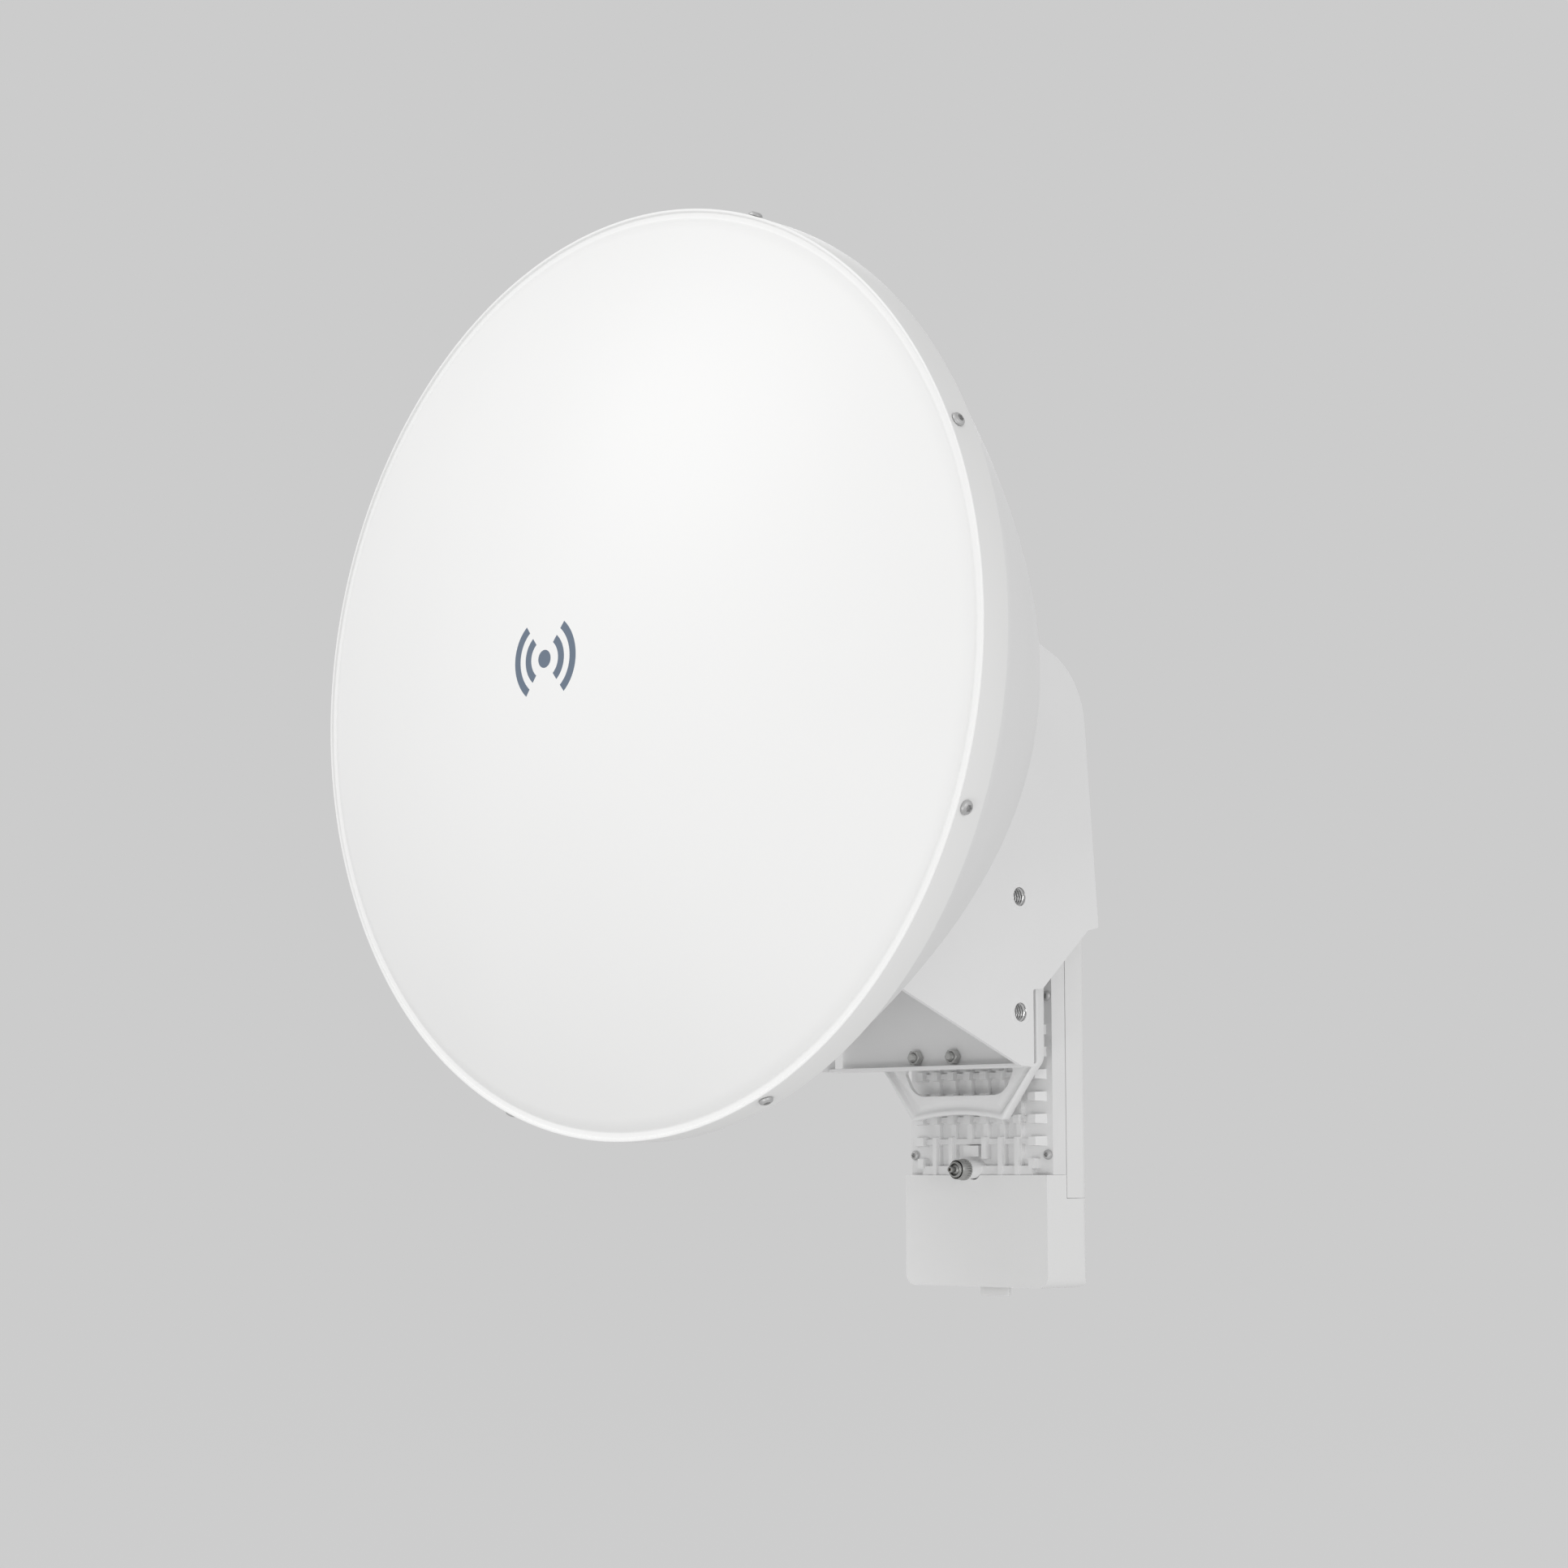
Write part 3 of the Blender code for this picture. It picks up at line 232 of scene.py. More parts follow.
def surface(name, colour, roughness, metallic=0.0, tone=0.03, grain=(900, 0.15, 0.0001),
            patch=14, stretch=None, worn=None, coat=0.0):
    """A finish whose colour and roughness drift over patches, with a fine grain in relief.

    tone is how far the colour drifts and patch how many patches a metre holds. grain is the
    relief's cells in a metre, its strength and its depth. worn is the specks' cells in a metre,
    how far they cover the finish, and their colour.
    """
    made = bpy.data.materials.new(name)
    made.use_nodes = True
    tree = made.node_tree
    shader = tree.nodes["Principled BSDF"]
    place = tree.nodes.new("ShaderNodeTexCoord").outputs["Object"]
    drift = noise(tree, place, patch, 3)
    light = tuple(min(1, c * (1 + tone)) for c in colour) + (1,)
    dark = tuple(c * (1 - tone) for c in colour) + (1,)
    base = mixed(tree, spread(tree, drift, 0, 1), dark, light)
    if worn:
        speckle = noise(tree, place, worn[0], 4)
        specks = spread(tree, speckle, 0, worn[1], SPECK_START, SPECK_END)
        base = mixed(tree, specks, base, (*worn[2], 1))
    tree.links.new(base, shader.inputs["Base Color"])
    fine = noise(tree, place, grain[0], 3, stretch)
    broad = spread(tree, drift, -ROUGHNESS_DRIFT, ROUGHNESS_DRIFT)
    narrow = spread(tree, fine, -ROUGHNESS_DRIFT, ROUGHNESS_DRIFT)
    rough = calc(tree, "ADD", broad, narrow)
    tree.links.new(calc(tree, "ADD", rough, roughness), shader.inputs["Roughness"])
    relief = tree.nodes.new("ShaderNodeBump")
    relief.inputs["Strength"].default_value = grain[1]
    relief.inputs["Distance"].default_value = grain[2]
    tree.links.new(fine, relief.inputs["Height"])
    tree.links.new(relief.outputs["Normal"], shader.inputs["Normal"])
    shader.inputs["Metallic"].default_value = metallic
    shader.inputs["Coat Weight"].default_value = coat
    shader.inputs["Coat Roughness"].default_value = COAT_ROUGHNESS
    return made


MARK_DOT = 0.0036
MARK_RINGS = (0.0095, 0.0160)
MARK_STROKE = 0.0034
MARK_SPREAD = radians(52)
MARK_INK = (0.13, 0.17, 0.23, 1)
LEAST_ACROSS = 0.0001


def print_mark(made):
    """A plain wave sign printed at the middle of the dome: a dot between pairs of arcs."""
    tree = made.node_tree
    shader = tree.nodes["Principled BSDF"]
    base = shader.inputs["Base Color"].links[0].from_socket
    place = tree.nodes.new("ShaderNodeTexCoord").outputs["Object"]
    axes = tree.nodes.new("ShaderNodeSeparateXYZ")
    tree.links.new(place, axes.inputs[0])
    across, up = axes.outputs["X"], axes.outputs["Z"]
    far = calc(tree, "SQRT", calc(tree, "ADD", calc(tree, "MULTIPLY", across, across),
                                  calc(tree, "MULTIPLY", up, up)))
    slope = calc(tree, "DIVIDE", calc(tree, "ABSOLUTE", up),
                 calc(tree, "MAXIMUM", calc(tree, "ABSOLUTE", across), LEAST_ACROSS))
    inside = calc(tree, "LESS_THAN", slope, tan(MARK_SPREAD))
    front = calc(tree, "LESS_THAN", axes.outputs["Y"], 0.0)
    rings = 0.0
    for radius in MARK_RINGS:
        off = calc(tree, "ABSOLUTE", calc(tree, "SUBTRACT", far, radius))
        rings = calc(tree, "ADD", calc(tree, "LESS_THAN", off, MARK_STROKE / 2), rings)
    arcs = calc(tree, "MULTIPLY", calc(tree, "MULTIPLY", rings, inside), front)
    dot = calc(tree, "MULTIPLY", calc(tree, "LESS_THAN", far, MARK_DOT), front)
    ink = calc(tree, "MAXIMUM", arcs, dot)
    tree.links.new(mixed(tree, ink, base, MARK_INK), shader.inputs["Base Color"])


RADOME = surface("radome_plastic", (0.87, 0.87, 0.865), 0.54, tone=0.008, patch=7,
                 grain=(1400, 0.10, 0.00008), coat=0.04)
print_mark(RADOME)
SHEET = surface("powder_coat", (0.86, 0.86, 0.86), 0.52, tone=0.012, patch=16,
                grain=(1600, 0.22, 0.00010))
CASTING = surface("painted_casting", (0.84, 0.84, 0.84), 0.58, tone=0.02, patch=40,
                  grain=(1100, 0.30, 0.00014))
COVER = surface("moulded_cover", (0.86, 0.86, 0.857), 0.50, tone=0.010, patch=20,
                grain=(2200, 0.30, 0.00010))
STEEL = surface("screw_steel", (0.30, 0.295, 0.29), 0.36, 1.0, tone=0.12, patch=260,
                grain=(2600, 0.25, 0.00006), worn=(420, 0.5, (0.16, 0.155, 0.15)))
THREAD_STEEL = surface("thread_steel", (0.62, 0.62, 0.62), 0.28, 0.8, tone=0.10, patch=300,
                       grain=(3000, 0.15, 0.00004))
RIM_STEEL = surface("rim_screw_steel", (0.55, 0.55, 0.55), 0.50, 0.65, tone=0.10, patch=260,
                    grain=(2600, 0.25, 0.00006), worn=(420, 0.4, (0.30, 0.30, 0.30)))
ZINC = surface("zinc_plating", (0.52, 0.52, 0.51), 0.40, 0.45, tone=0.10, patch=300,
               grain=(2600, 0.20, 0.00005), worn=(480, 0.3, (0.34, 0.34, 0.33)))
NICKEL = surface("nickel_plating", (0.42, 0.42, 0.41), 0.34, 0.8, tone=0.08, patch=300,
                 grain=(2600, 0.20, 0.00005), worn=(500, 0.4, (0.26, 0.26, 0.25)))
GOLD = surface("gold_contact", (0.75, 0.55, 0.22), 0.28, 1.0, tone=0.05, patch=400)
ALUMINIUM = surface("turned_aluminium", (0.60, 0.60, 0.61), 0.38, 1.0, tone=0.05, patch=60,
                    grain=(1200, 0.2, 0.00006), stretch=(1, 6, 1))
TIN = surface("tinned_shell", (0.62, 0.62, 0.62), 0.30, 1.0, tone=0.06, patch=120,
              grain=(1500, 0.2, 0.00005), stretch=(1, 1, 7))
RUBBER = surface("rubber", (0.045, 0.045, 0.045), 0.78, tone=0.15, patch=90,
                 grain=(1600, 0.4, 0.00012))
GREY_RUBBER = surface("seal_rubber", (0.24, 0.24, 0.24), 0.80, tone=0.08, patch=90,
                      grain=(1600, 0.4, 0.00012))
DIELECTRIC = surface("dielectric", (0.80, 0.78, 0.71), 0.45, tone=0.02, patch=50,
                     grain=(900, 0.2, 0.0001))
BLACK = surface("black_plastic", (0.035, 0.035, 0.037), 0.48, tone=0.12, patch=120,
                grain=(2400, 0.4, 0.0001))
JACKET = surface("cable_jacket", (0.030, 0.030, 0.032), 0.55, tone=0.15, patch=160,
                 grain=(1500, 0.35, 0.0001), stretch=(3, 3, 0.6))
PTFE = surface("white_insulator", (0.82, 0.81, 0.78), 0.5, tone=0.03, patch=300)


TRACKS_PER_METRE = 700
TRACK_SHARE = 0.35
PADS_PER_METRE = 390
PAD_SHARE = 0.4
COPPER_GREEN = (0.05, 0.24, 0.10, 1)
PAD_TIN = (0.55, 0.54, 0.50, 1)


def board_finish():
    """Green solder mask over a grid of faint copper tracks, with small tinned pads."""
    made = surface("solder_mask", (0.025, 0.12, 0.055), 0.34, tone=0.15, patch=120,
                   grain=(1800, 0.2, 0.00005), coat=0.4)
    tree = made.node_tree
    shader = tree.nodes["Principled BSDF"]
    base = shader.inputs["Base Color"].links[0].from_socket
    place = tree.nodes.new("ShaderNodeTexCoord").outputs["Object"]
    axes = tree.nodes.new("ShaderNodeSeparateXYZ")
    tree.links.new(place, axes.inputs[0])

    def stripes(axis, per_metre, share):
        cells = calc(tree, "MULTIPLY", axes.outputs[axis], per_metre)
        return calc(tree, "LESS_THAN", calc(tree, "FRACT", cells), share)

    tracks = stripes("X", TRACKS_PER_METRE, TRACK_SHARE)
    patches = calc(tree, "GREATER_THAN", noise(tree, place, 90, 0), 0.52)
    both = calc(tree, "MULTIPLY", calc(tree, "MULTIPLY", tracks, patches), 0.6)
    base = mixed(tree, both, base, COPPER_GREEN)
    rows = stripes("Z", PADS_PER_METRE, PAD_SHARE)
    lines = stripes("X", PADS_PER_METRE, PAD_SHARE)
    spots = calc(tree, "GREATER_THAN", noise(tree, place, 60, 0), 0.62)
    pads = calc(tree, "MULTIPLY", calc(tree, "MULTIPLY", rows, lines), spots)
    tree.links.new(mixed(tree, pads, base, PAD_TIN), shader.inputs["Base Color"])
    return made


BOARD = board_finish()


# Mesh helpers


def arc(centre, radius, start, end, count):
    steps = [start + (end - start) * i / count for i in range(count + 1)]
    return [(centre[0] + radius * cos(a), centre[1] + radius * sin(a)) for a in steps]


def rounded(corners, count=5, closed=True):
    """A line through (x, y, radius) corners, each turned into an arc that meets both sides."""
    outline = []
    last = len(corners) - 1
    for i, (x, y, radius) in enumerate(corners):
        if radius == 0 or (not closed and i in (0, last)):
            outline.append((x, y))
            continue
        here = Vector((x, y))
        before = (Vector(corners[i - 1][:2]) - here).normalized()
        after = (Vector(corners[(i + 1) % len(corners)][:2]) - here).normalized()
        half = before.angle(after) / 2
        centre = here + (before + after).normalized() * radius / sin(half)
        start = here + before * radius / tan(half) - centre
        end = here + after * radius / tan(half) - centre
        first = atan2(start.y, start.x)
        outline += arc(centre, radius, first, first - start.angle_signed(end), count)
    return outline


def lathe(profile, steps, closed=True):
    """A bmesh turned about +Z from (radius, height) points, or from a function of the angle."""
    bm = bmesh.new()
    fixed = profile(0.0) if callable(profile) else profile
    poles = {j: bm.verts.new((0, 0, h)) for j, (r, h) in enumerate(fixed) if r == 0}
    rings = []
    for i in range(steps):
        angle = 2 * pi * i / steps
        points = profile(angle) if callable(profile) else profile
        rings.append(
            [
                poles[j] if j in poles else bm.verts.new((r * cos(angle), r * sin(angle), h))
                for j, (r, h) in enumerate(points)
            ]
        )
    spans = len(fixed) if closed else len(fixed) - 1
    for i in range(steps):
        here, there = rings[i], rings[(i + 1) % steps]
        for j in range(spans):
            k = (j + 1) % len(fixed)
            corners = []
            for vert in (here[j], here[k], there[k], there[j]):
                if vert not in corners:
                    corners.append(vert)
            if len(corners) > 2:
                bm.faces.new(corners)
    return bm


def plug(radius, top, bottom, steps=32):
    """A plain round bar about +Z."""
    return lathe([(0, top), (radius, top), (radius, bottom), (0, bottom)], steps, closed=False)


def prism(outline, low, high):
    """An outline in XY made solid from low to high along Z."""
    bm = bmesh.new()
    base = bm.faces.new([bm.verts.new((x, y, low)) for x, y in outline])
    grown = bmesh.ops.extrude_face_region(bm, geom=[base])
    top = [v for v in grown["geom"] if isinstance(v, bmesh.types.BMVert)]
    bmesh.ops.translate(bm, verts=top, vec=(0, 0, high - low))
    bmesh.ops.recalc_face_normals(bm, faces=bm.faces)
    return bm


def merge(target, *others):
    """Adds other bmeshes to one, and frees them."""
    for other in others:
        mesh = bpy.data.meshes.new("merged")
        other.to_mesh(mesh)
        other.free()
        target.from_mesh(mesh)
        bpy.data.meshes.remove(mesh)
    return target


def turned_to(bm, points, place=(0, 0, 0)):
    """Turns a bmesh so that its +Z points that way, then moves it."""
    bmesh.ops.transform(bm, matrix=Matrix.Translation(place) @ POINTS[points], verts=bm.verts)
    return bm


def object_of(name, bm, finish, sharp=35):
    bmesh.ops.recalc_face_normals(bm, faces=bm.faces)
    mesh = bpy.data.meshes.new(name)
    bm.to_mesh(mesh)
    bm.free()
    mesh.shade_smooth()
    mesh.set_sharp_from_angle(angle=radians(sharp))
    mesh.materials.append(finish)
    obj = bpy.data.objects.new(name, mesh)
    bpy.context.scene.collection.objects.link(obj)
    return obj


def piece(name, bm, finish, body, hides=(), place=None, sharp=35, even=False):
    """Puts a finished piece in place on its body. It stands for the CAD nodes that it hides."""
    obj = object_of(name, bm, finish, sharp)
    obj.location = RIM if place is None else place
    if even:
        normals = obj.modifiers.new("normals", "WEIGHTED_NORMAL")
        normals.keep_sharp = True
    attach(obj, body)
    if hides:
        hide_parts(*([hides] if isinstance(hides, str) else hides))
    return obj


def cad_shape(node, soft=0.0003, segments=2, angle=25, reshape=None, special=()):
    """A CAD node's own shape with its triangles merged into flat faces and its edges softened.

    special lists kinds of edge that are softened by their own amount: a test on an edge, the
    amount and its segments. The others get soft.
    """
    bm = bmesh.new()
    bm.from_mesh(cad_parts[node].data)
    bmesh.ops.remove_doubles(bm, verts=bm.verts, dist=0.000002)
    bmesh.ops.dissolve_limit(bm, angle_limit=radians(0.5), verts=bm.verts, edges=bm.edges,
                             use_dissolve_boundaries=False)
    if reshape:
        reshape(bm)

    def kind(edge):
        for i, (test, _, _) in enumerate(special):
            if test(edge):
                return i
        return len(special)

    steps = [(offset, count) for _, offset, count in special] + [(soft, segments)]
    order = sorted(range(len(steps)), key=lambda i: -steps[i][0])
    for i in order:
        offset, count = steps[i]
        edges = [e for e in bm.edges if e.is_manifold and e.calc_face_angle(0) > radians(angle)
                 and kind(e) == i]
        if offset and edges:
            bmesh.ops.bevel(bm, geom=edges, offset=offset, segments=count, profile=0.5,
                            affect="EDGES", clamp_overlap=True)
    return bm


FAR = 9


def within(low=(-FAR, -FAR, -FAR), high=(FAR, FAR, FAR)):
    """A test for the edges that lie wholly in a box."""
    return lambda edge: all(
        low[i] <= vert.co[i] <= high[i] for vert in edge.verts for i in range(3)
    )


def carve(obj, cutter_bm, operation="DIFFERENCE"):
    """Applies a Boolean with a helper that isn't kept."""
    bmesh.ops.recalc_face_normals(cutter_bm, faces=cutter_bm.faces)
    mesh = bpy.data.meshes.new("cutter")
    cutter_bm.to_mesh(mesh)
    cutter_bm.free()
    cutter = bpy.data.objects.new("cutter", mesh)
    bpy.context.scene.collection.objects.link(cutter)
    cut = obj.modifiers.new("cut", "BOOLEAN")
    cut.operation = operation
    cut.solver = "EXACT"
    cut.use_self = True
    cut.object = cutter
    bpy.context.view_layer.update()
    shape = bpy.data.meshes.new_from_object(
        obj.evaluated_get(bpy.context.evaluated_depsgraph_get())
    )
    obj.modifiers.remove(cut)
    bpy.data.objects.remove(cutter, do_unlink=True)
    bm = bmesh.new()
    bm.from_mesh(shape)
    bpy.data.meshes.remove(shape)
    return bm


def carved(solid, *cutters, operation="DIFFERENCE"):
    """A bmesh with other bmeshes cut from it or joined to it."""
    for cutter in cutters:
        obj = object_of("solid", solid, STEEL)
        solid = carve(obj, cutter, operation)
        bpy.data.objects.remove(obj, do_unlink=True)
    return solid


def threaded(core, crest, pitch, start, end, angle, samples=8, fade=0.8):
    """(radius, height) points along a thread at one angle, from start to end.

    core is the plain radius and crest the other one. The thread fades out at both ends.
    """
    length = end - start
    count = max(8, int(abs(length) / pitch * samples))
    points = []
    for i in range(count + 1):
        h = start + length * i / count
        turn = (h / pitch - angle / (2 * pi)) % 1
        ridge = max(0.0, min(1.0, 1.6 * (1 - abs(2 * turn - 1)) - 0.2))
        ends = min(1.0, abs(h - start) / (fade * pitch), abs(end - h) / (fade * pitch))
        points.append((core + (crest - core) * ridge * ends, h))
    return points


# Radome


def dome_y(radius, inset=0.0):
    sphere = (DOME_RADIUS**2 + DOME_HEIGHT**2) / (2 * DOME_HEIGHT)
    return sphere - DOME_HEIGHT - sqrt((sphere - inset) ** 2 - radius**2)


RADOME_WALL = 0.0022
RADOME_BANDS = 40
RIM_STEPS = 240
RIM_HOLE_RADIUS = 0.0019
RIM_HOLE_START, RIM_HOLE_END = 0.180, 0.195


def make_radome():
    bands, wall = RADOME_BANDS, RADOME_WALL
    radii = [DOME_RADIUS * i / bands for i in range(bands + 1)]
    skirt_inner = RIM_RADIUS - wall
    inner = [(r * 0.985, dome_y(r * 0.985, wall)) for r in radii]
    flange = rounded([(0.1820, 0.0012, 0), (skirt_inner, 0.0020, 0.0008), (skirt_inner, 0.0135, 0)],
                     4, closed=False)
    hem = rounded(
        [
            (skirt_inner, SKIRT_DEPTH - 0.0004, 0),
            (skirt_inner + 0.0002, SKIRT_DEPTH, 0.0002),
            (RIM_RADIUS, SKIRT_DEPTH, 0.0006),
            (RIM_RADIUS, 0, 0.00035),
            (RIM_RADIUS - BEAD_WIDTH, 0, 0.0005),
            (RIM_RADIUS - BEAD_WIDTH - 0.0004, GROOVE_DEPTH, 0.0006),
            (DOME_RADIUS + 0.0006, GROOVE_DEPTH, 0.0012),
            (DOME_RADIUS, 0, 0),
        ],
        5,
        closed=False,
    )
    outer = [(r, dome_y(r)) for r in reversed(radii)]
    bm = lathe(inner + flange[1:] + hem + outer, RIM_STEPS, closed=False)
    turned_to(bm, "+Y")
    holes = bmesh.new()
    for place, turn in rim_screw_places():
        hole = plug(RIM_HOLE_RADIUS, RIM_HOLE_END, RIM_HOLE_START, 24)
        bmesh.ops.transform(hole, matrix=Matrix.Translation(place) @ turn, verts=hole.verts)
        merge(holes, hole)
    bm = carved(bm, holes)
    piece("radome_shell", bm, RADOME, "dish", "radome", sharp=40)


def rim_screw_places():
    for i in range(RIM_SCREWS):
        angle = RIM_SCREW_FIRST + i * 2 * pi / RIM_SCREWS
        yield Vector((0, RIM_SCREW_Y, 0)), Matrix.Rotation(angle, 4, "Y")


def star(radius, depth=0.24, points=6, fine=4):
    """The outline of a six-lobed driver recess."""
    count = points * fine
    outline = []
    for i in range(count):
        reach = radius * (1 - depth * (0.5 - 0.5 * cos(points * 2 * pi * i / count)))
        turn = 2 * pi * i / count
        outline.append((reach * cos(turn), reach * sin(turn)))
    return outline


def pan_screw(head, height, shank, length, recess):
    """A pan head on a threaded shank along -Z, its underside at zero, with a lobed recess."""
    top = rounded(
        [
            (0, height, 0),
            (head * 0.55, height, 0.0004),
            (head * 0.88, height * 0.72, head * 0.25),
            (head, height * 0.22, head * 0.12),
            (head, 0, 0.0001),
            (shank, 0, 0),
        ],
        4,
        closed=False,
    )

    def profile(angle):
        thread = threaded(shank * 0.84, shank, 0.0006, -0.0003, -length, angle, 6)
        return top + thread + [(0, -length)]

    bm = lathe(profile, 36, closed=False)
    bmesh.ops.recalc_face_normals(bm, faces=bm.faces)
    return carved(bm, prism(star(recess), height * 0.30, height + 0.002))


SCREW_SPIN = radians(17)


def make_rim_screws():
    base = RIM_RADIUS + 0.0003
    screw = pan_screw(0.0029, 0.0015, 0.0012, 0.0040, 0.0016)
    shape = bpy.data.meshes.new("pan_screw")
    screw.to_mesh(shape)
    screw.free()
    for i, (place, turn) in enumerate(rim_screw_places()):
        bm = bmesh.new()
        bm.from_mesh(shape)
        spin = Matrix.Rotation(SCREW_SPIN * i, 4, "Z")
        matrix = Matrix.Translation(place) @ turn @ Matrix.Translation((0, 0, base)) @ spin
        bmesh.ops.transform(bm, matrix=matrix, verts=bm.verts)
        name = f"radome_screw_{i + 1}"
        piece("pan_" + name, bm, RIM_STEEL, "dish", name)
    bpy.data.meshes.remove(shape)


# Reflector


def dish_outer_y(radius):
    radius = max(radius, DISH_FLAT)
    return VERTEX_Y - DISH_DEPTH * (radius / DISH_RADIUS) ** DISH_POWER


def dish_offset(radius, distance):
    step = 0.0001
    slope = (dish_outer_y(radius + step) - dish_outer_y(radius - step)) / (2 * step)
    across = sqrt(1 + slope * slope)
    return radius - distance * slope / across, dish_outer_y(radius) + distance / across


def make_reflector():
    bands = 44
    span = FLANGE_RADIUS - DISH_FLAT
    radii = [DISH_FLAT + span * i / bands for i in range(bands + 1)]
    flat = VERTEX_Y - DISH_DEPTH * (DISH_FLAT / DISH_RADIUS) ** DISH_POWER
    outer = [(DISH_BORE, flat)] + [(r, dish_outer_y(r)) for r in radii]
    edge = dish_outer_y(FLANGE_RADIUS)
    rim = [
        (FLANGE_RADIUS, edge - 0.0008),
        (FLANGE_RADIUS, FLANGE_FRONT + 0.0003),
        (FLANGE_RADIUS - 0.0003, FLANGE_FRONT),
        (FLANGE_RADIUS - DISH_WALL + 0.0003, FLANGE_FRONT),
        (FLANGE_RADIUS - DISH_WALL, FLANGE_FRONT + 0.0003),
        (FLANGE_RADIUS - DISH_WALL, edge - 0.002),
    ]
    inner = [dish_offset(r, -DISH_WALL) for r in reversed(radii[1:-1])]
    inner += [(DISH_FLAT - 0.0005, flat - DISH_WALL), (DISH_BORE, flat - DISH_WALL)]
    bm = turned_to(lathe(outer + rim + inner, RIM_STEPS), "+Y")
    piece("reflector_bowl", bm, SHEET, "dish", "reflector", sharp=30)


make_radome()
make_rim_screws()
make_reflector()


# Housing


def make_sheets():
    for node in ("side_wall_left", "side_wall_right", "web_plate", "top_cover"):
        bm = cad_shape(node, 0.00035, 3)
        piece(node + "_sheet", bm, SHEET, "dish", node, (0, 0, 0), 50, True)


SEAT_FLANGE = 0.0070
SEAT_BARREL = 0.0049
SEAT_BORE = 0.0038
SEAT_STEP = 0.0050
SEAT_PITCH = 0.00125
SEAT_STEPS = 56


def seat_face(node):
    """Which way a seat's open end points, and where its middle is."""
    low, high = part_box(node)
    side = 1 if low.x > 0 else -1
    middle = (low + high) / 2
    face = max(abs(low.x), abs(high.x))
    return "+X" if side > 0 else "-X", (side * face, middle.y, middle.z)


def make_seat(node):
    """A press-in nut: a plain barrel flush with the wall, threaded all the way through."""
    low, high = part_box(node)
    depth = high.x - low.x
    flange, barrel, bore, step = SEAT_FLANGE, SEAT_BARREL, SEAT_BORE, SEAT_STEP

    def profile(angle):
        outside = [
            (barrel - 0.0002, -0.0003),
            (barrel, -0.0005),
            (barrel, step - depth),
            (flange - 0.0003, step - depth),
            (flange, step - depth - 0.0003),
            (flange, 0.0003 - depth),
            (flange - 0.0003, -depth),
            (bore + 0.0004, -depth),
        ]
        thread = threaded(bore + 0.0003, bore - 0.00035, SEAT_PITCH, -depth + 0.0003, -0.0006,
                          angle, 10, 0.6)
        return [(bore + 0.0005, -0.0003)] + outside + thread

    bm = turned_to(lathe(profile, SEAT_STEPS), *seat_face(node))
    piece(node + "_thread", bm, THREAD_STEEL, "dish", node, (0, 0, 0))


def press_ring(node):
    """The paint over a seat's end, with the faint ring that the press leaves round it."""
    swell = [(0.0041, -0.00025), (0.00405, -0.0001), (0.0042, 0.00003), (0.0052, 0.00004),
             (0.0056, 0.00014), (0.0061, 0.00012), (0.0066, -0.0001), (0.0066, -0.00025)]
    bm = turned_to(lathe(swell, SEAT_STEPS), *seat_face(node))
    piece(node + "_ring", bm, SHEET, "dish", (), (0, 0, 0))


def make_seats():
    for hand in ("left", "right"):
        for level in ("upper", "lower"):
            make_seat(f"threaded_seat_{level}_{hand}")
            press_ring(f"threaded_seat_{level}_{hand}")


def hexagon(across):
    corner = across / sqrt(3)
    return [(corner * cos(i * pi / 3), corner * sin(i * pi / 3)) for i in range(6)]


def hex_solid(across, low, high):
    """A hexagon whose corners are turned off at both ends, as on a real nut."""
    corner = across / sqrt(3)
    body = prism(hexagon(across), low, high)
    edge = across / 2 * 0.99
    rise = (corner - edge) * 0.6
    reach = corner * 1.02
    cone = lathe([(0, high), (edge, high), (reach, high - rise), (reach, low + rise),
                  (edge, low), (0, low)], 48, closed=False)
    return carved(body, cone, operation="INTERSECT")


NUT_ACROSS = 0.006
NUT_BORE = 0.0023
CRADLE_HEAD_HEIGHT = 0.0018


def make_cradle_nut(node):
    low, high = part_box(node)
    thick = high.y - low.y
    across = min(high.z - low.z, NUT_ACROSS)
    nut = hex_solid(across, -thick / 2, thick / 2)
    nut = turned_to(carved(nut, plug(NUT_BORE, thick, -thick)), "+Y", (low + high) / 2)
    piece(f"hex_{node}", nut, ZINC, "dish", node, (0, 0, 0), 25)


def make_cradle_screw(node):
    low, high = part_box(node)
    middle = (low + high) / 2
    top = high.y - low.y
    under = top - CRADLE_HEAD_HEIGHT

    def profile(angle):
        shank = threaded(0.0017, 0.0020, 0.0007, 0.0004, 0.0090, angle, 8)
        plain = [(0.0019, 0.0100), (0.0019, under)]
        head = [(0.0034, under), (0.0036, under + 0.0002), (0.0036, top - 0.0008),
                (0.0032, top - 0.0001), (0.0026, top), (0, top)]
        return [(0, 0), (0.0013, 0)] + shank + plain + head

    bm = turned_to(lathe(profile, 32, closed=False), "+Y", (middle.x, low.y, middle.z))
    piece(f"pan_{node}", bm, ZINC, "dish", node, (0, 0, 0))


def make_cradle_fasteners():
    for hand in ("left", "right"):
        make_cradle_nut(f"cradle_nut_{hand}")
        make_cradle_screw(f"cradle_screw_{hand}")


def make_hub_bolts():
    for i in range(4):
        node = f"hub_bolt_{i + 1}"
        bm = cad_shape(node, 0.00025, 2)
        piece(node + "_hex", bm, STEEL, "dish", node, (0, 0, 0), 40, True)


make_sheets()
make_seats()
make_cradle_fasteners()
make_hub_bolts()


# Cradle

